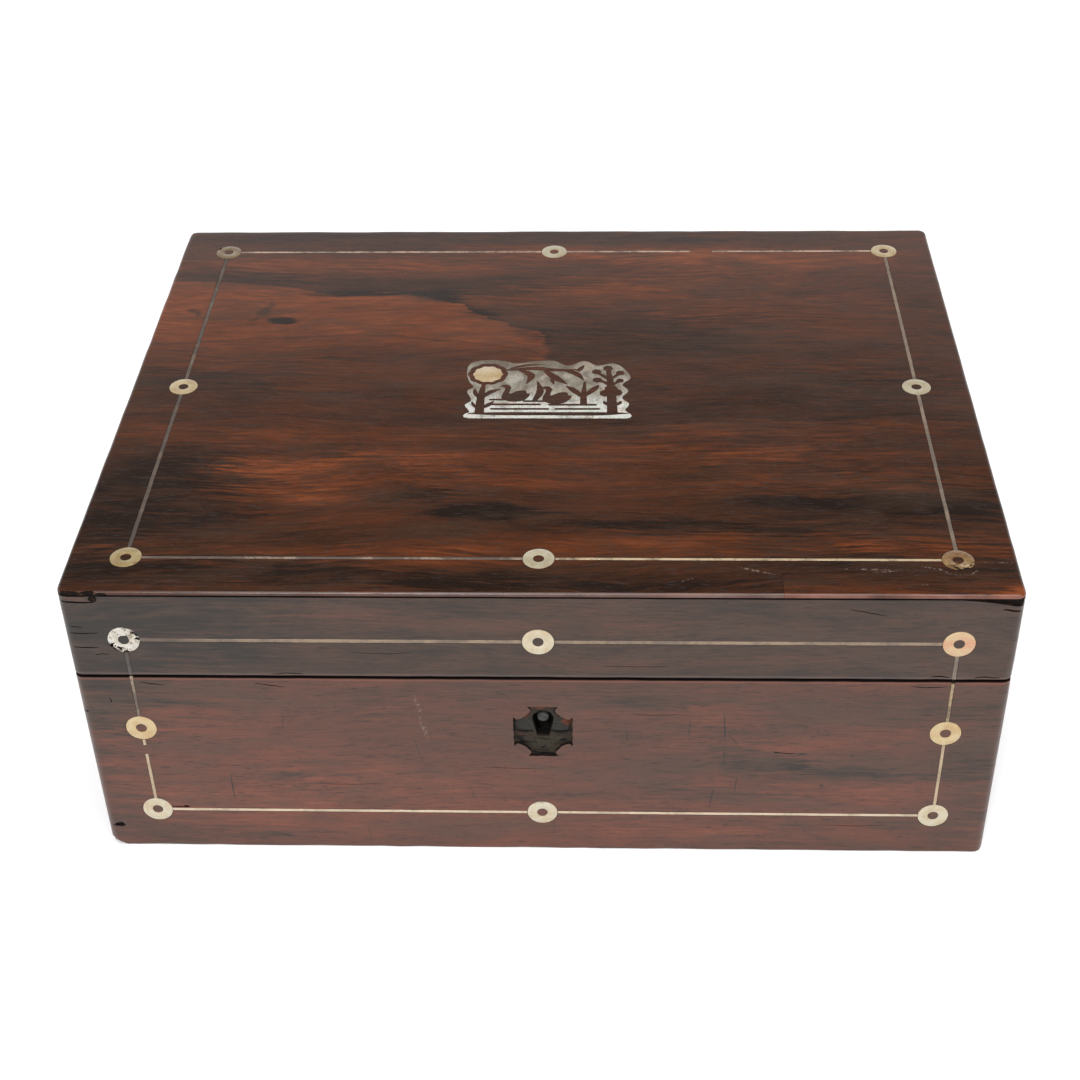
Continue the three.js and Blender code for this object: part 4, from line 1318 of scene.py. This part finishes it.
# A crack: a thin wedge that tapers to its ends, drawn along points on the front. It wanders by
# a seeded noise, and its depth may differ from its width.
def crack(points, width, depth, seed=1, wander=0.25):
    path = smoothed([list(point) for point in points], 5, closed=False)
    count = len(path) - 1
    curve = bpy.data.curves.new("crack", "CURVE")
    curve.dimensions = "3D"
    line = curve.splines.new("POLY")
    line.points.add(count)
    for i, (x, z) in enumerate(path):
        share = i / count
        shift = wander * noise.noise(Vector((x * 0.6, z * 0.6, seed)))
        line.points[i].co = (x * mm, front * mm, (z + shift) * mm, 1)
        line.points[i].radius = 0.12 + 0.88 * math.sin(math.pi * share) ** 0.6
    curve.bevel_depth = width / 2 * mm
    curve.bevel_resolution = 1
    curve.use_fill_caps = True
    piece = bpy.data.objects.new("crack", curve)
    bpy.context.scene.collection.objects.link(piece)
    pick(piece)
    bpy.ops.object.convert(target="MESH")
    piece = bpy.context.object
    reshape(piece, lambda p: Vector((p.x, front + (p.y - front) * 2 * depth / width, p.z)))
    tidyMesh(piece)
    return piece


# A chip: a lumpy ball stretched to three half sizes
def chip(middle, sizes, seed=1, rough=0.35):
    deselectAll()
    bpy.ops.mesh.primitive_ico_sphere_add(subdivisions=3, radius=mm)
    piece = settle(bpy.context.object, "chip")

    def rule(p):
        reach = 1 + rough * noise.noise(p * 1.6 + Vector((seed * 3.7, seed, 0)))
        return Vector([m + s * value * reach for m, s, value in zip(middle, sizes, p)])
    reshape(piece, rule)
    return piece


# Places of the damage on the fronts, across and up, with a width and a depth
damage = {
    "lidCracks": [
        ([(-151, 108.8), (-147, 108.9), (-142, 108.5), (-138, 108.8)], 0.8, 0.9),
        ([(-151, 111.3), (-146, 111.2), (-141, 111.3), (-134, 111.5)], 0.9, 0.9),
        ([(-147.8, 98.9), (-145.4, 98.6), (-143.5, 98.6)], 0.4, 0.5),
        ([(-148.6, 96.2), (-144, 95.9), (-139, 96.2)], 0.45, 0.7),
        ([(-148.4, 90.4), (-144, 90.1), (-139.6, 90.3)], 0.5, 0.7),
        ([(-141.5, 87.3), (-139, 87.4), (-137, 87.2)], 0.35, 0.5),
        ([(124, 79.6), (127, 79.9), (130, 79.5)], 0.6, 0.6),
        ([(137.5, 79.4), (141, 79.7), (146, 79.3)], 0.55, 0.6),
        ([(96, 107.2), (102, 106.0), (108, 104.6)], 0.35, 0.4),
        ([(-86, 79.4), (-80, 79.7), (-75, 79.3)], 0.4, 0.4),
        ([(-60, 88.6), (-50, 88.2), (-40, 88.5)], 0.22, 0.3),
        ([(20, 83.5), (32, 83.2), (42, 83.6)], 0.22, 0.3),
    ],
    "lidChips": [
        ((-138.6, -118.1, 110.2), (1.3, 0.7, 1.5), 3),
        ((-151.0, -118.2, 110.0), (1.6, 0.8, 1.5), 15),
    ],
    "topChips": [
        ((-146.6, -118.5, 112.3), (5.6, 1.1, 1.2), 2),
        ((-139.8, -118.6, 112.4), (2.6, 1.5, 1.2), 4),
        ((-135.4, -118.5, 111.9), (3.0, 0.7, 0.7), 6),
    ],
    "caseCracks": [
        ([(-150, 62.5), (-149, 62.4), (-147.6, 62.5)], 0.8, 0.9),
        ([(148.4, 34.7), (149.2, 34.6), (150, 34.7)], 0.7, 0.8),
        ([(-92, 75.4), (-87, 74.6), (-82, 73.8)], 0.4, 0.5),
        ([(-129, 75.6), (-125, 74.8), (-121, 74.2)], 0.4, 0.5),
        ([(118, 75.6), (124, 75.2), (130, 75.6)], 0.4, 0.5),
        ([(-126.5, 18.9), (-123, 18.9), (-119.6, 19.0)], 0.5, 0.6),
        ([(-140, 68.8), (-139.5, 67.6), (-139.8, 66.4)], 0.35, 0.4),
        ([(76, 46.6), (80, 46.0), (84, 46.1)], 0.35, 0.4),
        ([(30, 63), (38, 62.6), (46, 62.9)], 0.2, 0.3),
        ([(-76, 30.5), (-64, 30.2), (-52, 30.6)], 0.2, 0.3),
        ([(92, 12.8), (104, 12.4), (116, 12.9)], 0.2, 0.3),
        ([(-20, 38.6), (-8, 38.2), (2, 38.5)], 0.2, 0.3),
    ],
    "caseChips": [
        ((-145.6, -118.1, 10.0), (2.1, 0.8, 1.0), 8), ((-148.6, -118.1, 9.6), (1.6, 0.4, 0.35), 9),
        ((-121.3, -118.1, 19.1), (1.0, 0.5, 0.55), 10),
    ],
}


# Cuts a piece, and the cut faces take the cutter's colour: dirt and old glue, with painted shade
# inside cracks and chips
def cutWithDirtAndShade(piece, cutter, overlapping=False):
    combine(piece, paint(cutter, dirtAndShadeFinish), overlapping=overlapping)


def cutDamage(piece, cracks, chips):
    for seed, (points, width, depth) in enumerate(cracks):
        cutWithDirtAndShade(piece, crack(points, width, depth, seed + 1))
    for middle, sizes, seed in chips:
        cutWithDirtAndShade(piece, chip(middle, sizes, seed))


print("case and lid veneers")


# One veneer: what a slab takes of an outer form
def veneer(name, outer, low, high, material):
    slab = block(name, low, high)
    combine(slab, outer, "INTERSECT", keep=True)
    slab.name = slab.data.name = name
    return paint(slab, material)


# The splits come before the pockets, which keeps the front veneer closed
def wallVeneers(prefix, outer, bottom, height, splits, pocketed, cracks, chips):
    wide, deep = outerHigh[0] + past, outerHigh[1] + past
    slabs = {
        "front": ((-wide, -deep, bottom), (wide, frontBack, height), "front"),
        "back": ((-wide, -frontBack, bottom), (wide, deep, height), "back"),
        "left": ((-wide, frontBack, bottom), (-sideBack, -frontBack, height), "side"),
        "right": ((sideBack, frontBack, bottom), (wide, -frontBack, height), "side"),
    }
    made = {}
    for side, (low, high, kind) in slabs.items():
        piece = veneer(prefix + side.title() + "Veneer", outer, low, high, woods[kind])
        if side == "front":
            for cutter in splits:
                cutWithDirtAndShade(piece, cutter)
            cutWithDirtAndShade(piece, pocketed, overlapping=True)
            cutDamage(piece, cracks, chips)
        made[side] = (piece, woods[kind], prefix + "_" + side + "_veneer")
    return made


# The lost lock plate's place: half of a cross with hollowed corners, about its own middle
recess = {
    "middle": (0.9, 54.9),
    "corner": [(9.65, 6.5), (8.65, 5.3), (7.6, 5.55), (5.8, 6.7), (4.25, 8.6), (4.0, 9.55),
               (5.0, 10.95)],
    "torn": 0.16,
    "keyholeHead": (0.9, 59.7, 3.5),
    "keyholeFoot": (51.8, 3.9),
}


def recessOutline(r):
    middleX, middleZ = r["middle"]
    corner = r["corner"]
    loop = (corner + [(-x, z) for x, z in reversed(corner)] + [(-x, -z) for x, z in corner]
            + [(x, -z) for x, z in reversed(corner)])
    outline = []
    for i, (x, z) in enumerate(loop):
        nextX, nextZ = loop[(i + 1) % len(loop)]
        steps = max(1, round(math.hypot(nextX - x, nextZ - z) / 0.8))
        for k in range(steps):
            u, v = x + (nextX - x) * k / steps, z + (nextZ - z) * k / steps
            tear = r["torn"] * noise.noise(Vector((u, v, 2)) * 0.9)
            outline.append((u * (1 + tear / 6) + middleX, v * (1 + tear / 6) + middleZ))
    return outline


caseWalls = wallVeneers("case", caseForm, outerLow[2] - past, caseTop + past, [],
                        pocketsIn("case"), damage["caseCracks"], damage["caseChips"])
recessCutter = stand(drawn("recess", recessOutline(recess), -frontBack - past, -front + past))
cutWithDirtAndShade(caseWalls["front"][0], recessCutter)

# The split under the lid's top veneer, which opens towards the right
split = {
    "heights": [(116, 0.05), (124, 0.35), (133, 0.9), (141, 1.8), (147, 2.9), (152, 3.5)],
    "depth": 1.1,
}


def splitCutter(s):
    outline = [(x, veneerTop + 0.4) for x, _ in s["heights"]]
    foot = [(x, veneerTop - high + 0.12 * noise.noise(Vector((x, 3, 1))))
            for x, high in s["heights"]]
    outline += reversed(smoothed(foot, 4, closed=False))
    return stand(drawn("split", outline, -front - s["depth"], -front + past))


lowerSplit = crack([(143, 107.3), (146, 107.0), (151, 106.2)], 0.8, 0.9, 4, wander=0.4)
lidWalls = wallVeneers("lid", lidForm, lidBottom - past, veneerTop - 0.3,
                       [splitCutter(split), lowerSplit], pocketsIn("lid"),
                       damage["lidCracks"], damage["lidChips"])
for piece, material, node in [*caseWalls.values(), *lidWalls.values()]:
    finishPiece(piece, material, "rosewood", node)

print("plaque drawing")

# The picture, in shares of the plaque's half width and half height, and widths in millimetres
plaque = {
    "middle": (0.5, -1.2),
    "half": (30.0, 19.25),
    "sun": (-0.74, 0.5),
    "sunRadius": 5.3,
    "sunMargin": 1.85,
    "gap": 0.05,
    "edge": [(-0.94, -0.99), (-0.84, -1), (-0.4, -1), (0, -1), (0.4, -1), (0.84, -1),
             (0.94, -0.99), (0.985, -0.92), (0.955, -0.83), (0.91, -0.72), (0.955, -0.52),
             (0.875, -0.32), (0.95, -0.08), (0.88, 0.14), (0.975, 0.36), (0.92, 0.64), (0.78, 0.88),
             (0.58, 0.8), (0.42, 0.96), (0.22, 0.8), (0.04, 0.97), (-0.2, 0.95), (-0.4, 0.87),
             (-0.54, 0.95), (-0.74, 1), (-0.95, 0.9), (-1, 0.6), (-0.96, 0.25), (-0.9, 0.05),
             (-0.97, -0.1), (-0.91, -0.4), (-0.98, -0.56), (-0.92, -0.78), (-0.97, -0.86),
             (-0.985, -0.93)],
    "swan": [(-0.04, 0.06), (-0.02, -0.2), (0.28, -0.4), (0.76, -0.38), (1.02, -0.1), (1.1, 0.2),
             (0.98, 0.2), (0.9, 0.42), (0.6, 0.4), (0.4, 0.26), (0.27, 0.2), (0.27, 0.4),
             (0.32, 0.64), (0.2, 0.84), (-0.02, 0.84), (-0.12, 0.68), (0.03, 0.66), (0.07, 0.5),
             (0.02, 0.3)],
    "swans": [(-0.54, -0.26, 8.8), (-0.053, -0.327, 9.0)],
    "ripples": [(-0.7, -0.5, -0.38, 1.2), (-0.3, 0.0, -0.43, 1.2), (-0.72, -0.08, -0.54, 1.25),
                (0.0, 0.58, -0.55, 1.3), (-0.68, 0.02, -0.69, 1.2), (0.08, 0.62, -0.69, 1.2)],
    "stems": [
        ([(-0.93, -0.84), (-0.6, -0.85), (0, -0.85), (0.6, -0.85), (0.95, -0.83)],
         [0.6, 2.0, 2.1, 2.2, 0.6]),
        ([(-0.8, -0.84), (-0.8, -0.3), (-0.78, 0.14)], [3.4, 2.8, 1.4]),
        ([(-0.8, -0.34), (-0.69, -0.12), (-0.57, -0.02)], [1.2, 2.2, 0.3]),
        ([(-0.8, -0.38), (-0.87, -0.16), (-0.88, 0.0)], [1.0, 1.7, 0.3]),
        ([(-0.8, -0.7), (-0.7, -0.55), (-0.64, -0.42)], [1.0, 2.0, 0.3]),
        ([(-0.82, -0.7), (-0.88, -0.55), (-0.9, -0.44)], [0.8, 1.3, 0.3]),
        ([(-0.53, 0.64), (-0.2, 0.7), (0.1, 0.64), (0.4, 0.66)], [1.0, 2.3, 1.9, 0.4]),
        ([(-0.48, 0.7), (-0.3, 0.8), (-0.08, 0.84)], [0.6, 1.5, 0.3]),
        ([(-0.38, 0.66), (-0.22, 0.46), (-0.27, 0.16)], [1.0, 3.0, 0.3]),
        ([(-0.08, 0.68), (0.07, 0.38), (0.23, 0.14)], [1.0, 3.2, 0.3]),
        ([(0.08, 0.44), (0.04, 0.3), (0.06, 0.14)], [0.8, 1.8, 0.3]),
        ([(0.14, 0.66), (0.32, 0.52), (0.42, 0.28)], [1.0, 2.6, 0.3]),
        ([(0.34, 0.6), (0.38, 0.7), (0.42, 0.82)], [1.6, 1.9, 0.3]),
        ([(-0.17, -0.44), (-0.1, -0.1), (-0.14, 0.26)], [1.6, 2.7, 0.3]),
        ([(0.42, -0.52), (0.42, -0.2), (0.43, 0.24)], [2.5, 2.1, 0.8]),
        ([(0.42, -0.32), (0.3, -0.06), (0.2, 0.1)], [1.2, 2.6, 0.3]),
        ([(0.43, -0.26), (0.54, -0.02), (0.6, 0.12)], [1.2, 2.5, 0.4]),
        ([(0.76, -0.82), (0.75, -0.3), (0.73, 0.3), (0.71, 0.66)], [3.8, 3.4, 2.4, 1.6]),
        ([(0.73, 0.1), (0.66, 0.22), (0.6, 0.28)], [1.3, 1.5, 1.5]),
        ([(0.74, 0.06), (0.79, 0.18), (0.85, 0.26)], [1.3, 1.4, 1.4]),
        ([(0.72, 0.3), (0.65, 0.44), (0.58, 0.54)], [1.3, 1.5, 1.5]),
        ([(0.72, 0.28), (0.79, 0.42), (0.85, 0.52)], [1.3, 1.4, 1.4]),
        ([(0.76, -0.6), (0.68, -0.5), (0.66, -0.42)], [0.8, 1.7, 0.4]),
        ([(0.76, -0.6), (0.84, -0.5), (0.86, -0.42)], [0.8, 1.7, 0.4]),
    ],
    "crowns": [(0.68, -0.16, 2.2), (0.81, -0.14, 2.1), (0.745, -0.02, 2.4), (0.707, 0.7, 1.8),
               (0.57, 0.58, 1.7), (0.853, 0.54, 1.6), (0.58, 0.29, 1.7), (0.85, 0.27, 1.4)],
    "cracks": [(-22.6, 0.35), (7.2, 0.28), (16.4, 0.2)],  # across the lower border, and how wide
}


def onPlaque(p, points):
    (middleX, middleY), (halfX, halfY) = p["middle"], p["half"]
    return [(middleX + x * halfX, middleY + y * halfY) for x, y in points]


# A level mark with rounded ends
def bar(left, right, y, width):
    radius = width / 2
    found = []
    for middle, start in ((right - radius, -90), (left + radius, 90)):
        for i in range(7):
            angle = math.radians(start + 180 * i / 6)
            found.append((middle + radius * math.cos(angle), y + radius * math.sin(angle)))
    return found


# A leaf or stem along a spine, with a width at each of its points. Points that would fold back
# on the inside of a bend are left out.
def blade(spine, widths, perPoint=5):
    path = smoothed([[x, y, w] for (x, y), w in zip(spine, widths)], perPoint, closed=False)
    sides = {1: [], -1: []}
    for i, (x, y, w) in enumerate(path):
        before, after = path[max(i - 1, 0)], path[min(i + 1, len(path) - 1)]
        way = Vector((after[0] - before[0], after[1] - before[1])).normalized()
        across = Vector((-way.y, way.x)) * max(w, 0.16) / 2
        for side, points in sides.items():
            point = Vector((x, y)) + across * side
            if not points or (point - points[-1]).dot(way) > 0.05:
                points.append(point)
    return [tuple(point) for point in sides[1] + sides[-1][::-1]]


# The openings of the picture, each made smaller by a gap all round
def plaqueFigures(p, gap=0.0):
    (sunX, sunY), = onPlaque(p, [p["sun"]])
    found = [disc(sunX, sunY, p["sunRadius"] + p["sunMargin"] - gap, 60, 0.2, 10)]
    for x, y, length in p["swans"]:
        (breastX, breastY), = onPlaque(p, [(x, y)])
        outline = smoothed([(breastX + u * length, breastY + v * length) for u, v in p["swan"]], 4)
        found.append(widened(outline, -gap))
    for left, right, height, width in p["ripples"]:
        (leftX, y), (rightX, _) = onPlaque(p, [(left, height), (right, height)])
        found.append(bar(leftX + gap, rightX - gap, y, width - 2 * gap))
    for spine, widths in p["stems"]:
        found.append(blade(onPlaque(p, spine), [width - 2 * gap for width in widths]))
    for x, y, radius in p["crowns"]:
        (middleX, middleY), = onPlaque(p, [(x, y)])
        found.append(disc(middleX, middleY, radius - gap, 28, 0.07 * radius, 7))
    return found


# The pierced plaque between two levels, grown by a gap all round
def plaqueBody(p, name, bottom, height, gap=0.0):
    edge = widened(smoothed(onPlaque(p, p["edge"]), 6), gap)
    piece = drawn(name, edge, bottom, height)
    for figure in plaqueFigures(p, gap):
        combine(piece, drawn("figure", figure, bottom - past, height + past))
    return piece


def sunBody(p, name, bottom, height, gap=0.0):
    (x, y), = onPlaque(p, [p["sun"]])
    outline = disc(x, y, p["sunRadius"] + gap, 80, 0.2, 10)
    return drawn(name, outline, bottom, height)


print("lid's top")

patch = {
    "left": outerHigh[0] - 74.0,
    "backLeft": -107.2,
    "backRight": -106.0,
    "gap": 0.09,
}


def patchSlab(name, p, gap, bottom, height):
    left = p["left"] - gap
    outline = [(left, front - past), (outerHigh[0] + past, front - past),
               (outerHigh[0] + past, p["backRight"] + gap)]
    for i in range(1, 20):
        share = i / 20
        x = outerHigh[0] + past + (left - outerHigh[0] - past) * share
        wander = 0.22 * noise.noise(Vector((x * 0.12, 1, 4)))
        across = p["backRight"] + (p["backLeft"] - p["backRight"]) * share
        outline.append((x, across + gap + wander))
    outline.append((left, p["backLeft"] + gap))
    return drawn(name, outline, bottom, height)


wide, deep = outerHigh[0] + past, outerHigh[1] + past
topVeneer = veneer("lidTopVeneer", lidForm, (-wide, -deep, veneerTop), (wide, deep, top + past),
                   woods["top"])
patchPiece = paint(copyOf(topVeneer, "lidTopPatch"), woods["patch"])
combine(patchPiece, patchSlab("slab", patch, 0.0, veneerTop - past, top + past), "INTERSECT")
combine(patchPiece, chip((151.0, -119.0, 112.9), (3.6, 3.0, 0.9), 12))
pocketFoot = top - inlay["groove"]
cutWithDirtAndShade(topVeneer, pocketsIn("top"), overlapping=True)
for cutter in (patchSlab("slab", patch, patch["gap"], veneerTop - past, top + past),
               plaqueBody(plaque, "pocket", pocketFoot, top + past, plaque["gap"]),
               sunBody(plaque, "pocket", pocketFoot, top + past, plaque["gap"])):
    cutWithDirtAndShade(topVeneer, cutter)
cutDamage(topVeneer, [], damage["topChips"])
finishPiece(topVeneer, woods["top"], "rosewood", "lid_top_veneer")
finishPiece(patchPiece, woods["patch"], "red_rosewood", "lid_top_patch")

print("plaque and sun")

plaquePiece = plaqueBody(plaque, "pearlPlaque", top - inlayDepth, top)
for x, width in plaque["cracks"]:
    low = top - 0.45
    foot = plaque["middle"][1] - plaque["half"][1] - 0.6
    outline = [(x - width / 2, foot), (x + width / 2, foot), (x + width * 0.2, foot + 2.6),
               (x - width * 0.5, foot + 2.6)]
    combine(plaquePiece, drawn("gap", outline, low, top + past))
useModifier(plaquePiece, "TRIANGULATE")
finishPiece(plaquePiece, pearlFinish, "shell", "plaque")
sunPiece = sunBody(plaque, "creamSun", top - inlayDepth, top)
bevelEdges(sunPiece, lambda a, b: min(a.z, b.z) > top - 0.001, 0.2, 2)
finishPiece(sunPiece, sunFinish, "cream_shell", "plaque_sun")

print("rings and lines")

# What each damaged ring has lost: middle across and up from its own, half sizes and seed
ringLosses = {
    "ring_lid_left": [(3.6, 2.2, 1.7, 1.3, 0.9, 1), (4.4, 0.2, 1.1, 1.0, 0.8, 2),
                      (-2.0, -3.6, 1.7, 1.3, 0.9, 3), (-3.9, -2.3, 1.3, 1.2, 0.9, 4),
                      (0.8, 4.6, 0.9, 0.8, 0.8, 5), (0.4, -4.9, 1.2, 0.8, 0.9, 6),
                      (1.6, 1.6, 0.8, 0.7, 0.5, 7)],
    "ring_top_front_right": [(-0.6, -4.3, 3.6, 1.9, 0.9, 8), (2.6, -3.6, 2.2, 1.7, 0.9, 9),
                             (-3.4, -3.6, 1.3, 1.1, 0.9, 10), (4.4, -1.7, 1.3, 1.0, 0.8, 11)],
    "ring_case_bottom_middle": [(0.2, 5.0, 1.2, 0.7, 0.8, 12)],
    "ring_top_back_left": [(-3.9, 2.6, 1.0, 0.8, 0.5, 13)],
    "ring_top_front_left": [(3.8, -3.0, 0.7, 0.5, 0.5, 14)],
}


def makeRing(node):
    x, y, outer, upright = ringPlace(node)
    level = -front if upright else top
    piece = plainRing(node, x, y, outer - 0.03, ringHole + 0.03, level - inlayDepth, level,
                      inlay["ringSides"])
    bevelEdges(piece, lambda a, b: min(a.z, b.z) > level - 0.001 and
               abs((a.xy - Vector((x, y))).length - (b.xy - Vector((x, y))).length) < 0.01,
               inlay["bevel"], 2)

    def rule(p):
        out = p.xy - Vector((x, y))
        uneven = noise.noise(Vector((p.x, p.y, 3)) * 0.35) * inlay["wobble"]
        out = out * (1 - abs(uneven) / out.length)
        return Vector((x + out.x, y + out.y, p.z))
    reshape(piece, rule)
    for dx, dy, halfX, halfY, halfZ, seed in ringLosses.get(node, []):
        combine(piece, chip((x + dx, y + dy, level), (halfX, halfY, halfZ), seed, 0.7))
    if upright:
        stand(piece)
    finish = shellFinishes[ringFinish.get(node, "clean")]
    newName = "shellRing" + node[4:].title().replace("_", "")
    piece.name = piece.data.name = newName
    return finishPiece(piece, finish, "shell", node)


def makeLine(node):
    low, high = nodeBox(node)
    upright = not node.startswith("line_top")
    axis = max(range(3), key=lambda i: high[i] - low[i])
    face = 1 if upright else 2
    low, high = widerLine(node, low, high, 3 - axis - face)
    piece = block(node, low, high)
    slice(piece, axis, between(low[axis], high[axis], inlay["lineStep"]))
    outside = low[1] if upright else high[2]
    bevelEdges(piece, lambda a, b: abs(a[face] - outside) < 0.001 and abs(b[face] - outside) < 0.001
               and abs(a[axis] - b[axis]) > 0.5, inlay["lineBevel"], 1)
    side = 3 - axis - face

    def rule(p):
        middle = (low[side] + high[side]) / 2
        uneven = noise.noise(Vector((p[axis] * 0.22, middle, 1)))
        thin = 1 - 0.12 * abs(noise.noise(Vector((p[axis] * 0.5, middle, 7))))
        p[side] = middle + (p[side] - middle) * thin + uneven * inlay["lineWobble"]
        return p
    reshape(piece, rule)
    if node.startswith(("line_lid_left", "line_lid_right")):
        combine(piece, lidForm, "INTERSECT", keep=True)
    if node.endswith("_upper"):
        combine(piece, caseForm, "INTERSECT", keep=True)
    if node == "line_case_right_upper":  # its upper end is lost
        missing = block("missing", (low[0] - past, low[1] - past, high[2] - 1.2),
                        (high[0] + past, high[1] + past, high[2] + past))
        combine(piece, missing)
    piece.name = piece.data.name = "metalLine" + node[4:].title().replace("_", "")
    return finishPiece(piece, metalOf(node), "pale_metal", node)


for node in inlays:
    if node.startswith("ring_"):
        makeRing(node)
    else:
        makeLine(node)

print("lock plate's recess")

lockPlace = nodeBox("lock_case")
boardLow, boardHigh = nodeBox("case_front_board")
lockGap = 0.3
recessFloor = {
    "step": 0.45,
    "lump": 0.35,
    "wedges": [((-4.8, 57.2), (3.1, 3.6)), ((6.6, 57.0), (3.1, 3.6))],
    "glue": [((0.2, 48.4), (5.0, 2.6)), ((3.6, 50.6), (3.0, 1.4)), ((-3.6, 50.2), (2.4, 1.4))],
    "splits": [((-9.6, -2.6), 54.4), ((3.2, 11.4), 54.1)],
    "splitHalf": 0.45,
    "deepest": 0.9,
    "highest": 0.75,
}


def floorHeight(x, z, f):
    lumps = noise.noise(Vector((x * 0.55, z * 0.55, 1)))
    lumps += 0.5 * noise.noise(Vector((x, z, 2)) * 1.4)
    height = f["lump"] * lumps - 0.1
    for (middleX, middleZ), (halfX, halfZ) in f["wedges"]:
        far = math.hypot((x - middleX) / halfX, (z - middleZ) / halfZ)
        height += 0.45 * max(0.0, min(1.0, (1.15 - far) / 0.3))
    for (middleX, middleZ), (halfX, halfZ) in f["glue"]:
        far = math.hypot((x - middleX) / halfX, (z - middleZ) / halfZ)
        height += 0.4 * max(0.0, 1 - far * far)
    for (left, right), level in f["splits"]:
        if left < x < right and abs(z - level) < f["splitHalf"]:
            height -= 0.9
    return max(-f["deepest"], min(f["highest"], height))


def keyholeOutline(r, grow=0.0):
    x, z, radius = r["keyholeHead"]
    footZ, footWide = r["keyholeFoot"]
    radius += grow
    half = footWide / 2 + grow
    outline = [(x - half, footZ - grow), (x + half, footZ - grow)]
    for i in range(25):
        angle = math.radians(-12 + 204 * i / 24)
        outline.append((x + radius * math.cos(angle), z + radius * math.sin(angle)))
    return outline


def makeFrontBoard(f, r):
    piece = block("caseFrontBoard", boardLow, boardHigh)
    middleX, middleZ = r["middle"]
    halfX, halfZ = 9.9, 11.2
    slice(piece, 0, between(middleX - halfX - 0.9, middleX + halfX + 0.9, f["step"]))
    slice(piece, 2, between(middleZ - halfZ - 0.9, middleZ + halfZ + 0.9, f["step"]))
    outline = [Vector(point) for point in recessOutline(r)]

    def inside(x, z):
        crossings = 0
        for a, b in zip(outline, outline[1:] + outline[:1]):
            if (a.y > z) != (b.y > z) and x < a.x + (z - a.y) / (b.y - a.y) * (b.x - a.x):
                crossings += 1
        return crossings % 2 == 1

    def rule(p):
        if p.y < boardLow[1] + 0.01 and inside(p.x, p.z):
            p.y -= floorHeight(p.x, p.z, f)
        return p
    reshape(piece, rule)
    (lockX0, lockY0, lockZ0), (lockX1, lockY1, lockZ1) = lockPlace
    mortise = block("mortise", (lockX0 - lockGap, lockY0 - lockGap, lockZ0 - lockGap),
                    (lockX1 + lockGap, lockY1 + past, lockZ1 + past))
    combine(piece, mortise)
    keyhole = stand(drawn("keyhole", keyholeOutline(r), -boardHigh[1] - past, -front + past))
    combine(piece, keyhole)
    pick(piece)
    piece.data.materials.clear()
    piece.data.materials.append(boards["x"])
    piece.data.materials.append(recessFinish)
    for face in piece.data.polygons:
        middle = face.center / mm
        open_ = abs(middle.x - middleX) < halfX and abs(middle.z - middleZ) < halfZ
        face.material_index = 1 if open_ and middle.y < boardLow[1] + 7 else 0
    smooth(piece, 40)
    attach(piece, "root")
    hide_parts("case_front_board")
    return piece


def makePin():
    low, high = nodeBox("lock_pin")
    x, z = (low[0] + high[0]) / 2, (low[2] + high[2]) / 2
    radius = (high[0] - low[0]) / 2
    deselectAll()
    bpy.ops.mesh.primitive_cylinder_add(vertices=48, radius=radius * mm,
                                        depth=(high[1] - low[1]) * mm,
                                        location=(x * mm, (low[1] + high[1]) / 2 * mm, z * mm),
                                        rotation=(math.pi / 2, 0, 0))
    piece = settle(bpy.context.object, "lockPin")
    bevelEdges(piece, lambda a, b: max(a.y, b.y) < low[1] + 0.01, 0.35, 3)
    edit(piece, "FACE")
    bpy.ops.mesh.select_all(action="DESELECT")
    leaveEdit()
    for face in piece.data.polygons:
        face.select = face.center.y / mm < low[1] + 0.01
    edit(piece, "FACE")
    bpy.ops.mesh.inset(thickness=0.55 * mm)
    bpy.ops.transform.translate(value=(0, 0.12 * mm, 0))
    bpy.ops.mesh.inset(thickness=0.3 * mm)
    bpy.ops.transform.translate(value=(0, 0.08 * mm, 0))
    leaveEdit()
    return finishPiece(piece, pinFinish, "steel", "lock_pin")


makeFrontBoard(recessFloor, recess)
makePin()
remove(caseForm)
remove(lidForm)

print("carried-over pieces")

for node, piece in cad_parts.items():
    if node.startswith("lock_"):
        material = shadedLockSteel
    elif node.endswith("_board"):
        material = boards["y" if "_left_" in node or "_right_" in node else "x"]
    elif node.startswith("lid_top") or "front" in node:
        material = woods["front"]
    elif node.startswith(("ring_", "plaque")):
        material = shellFinishes["clean"]
    elif node.startswith("line_"):
        material = lineFinishes["bottom"]
    else:
        material = woods["side"]
    for slot in piece.material_slots:
        slot.material = material
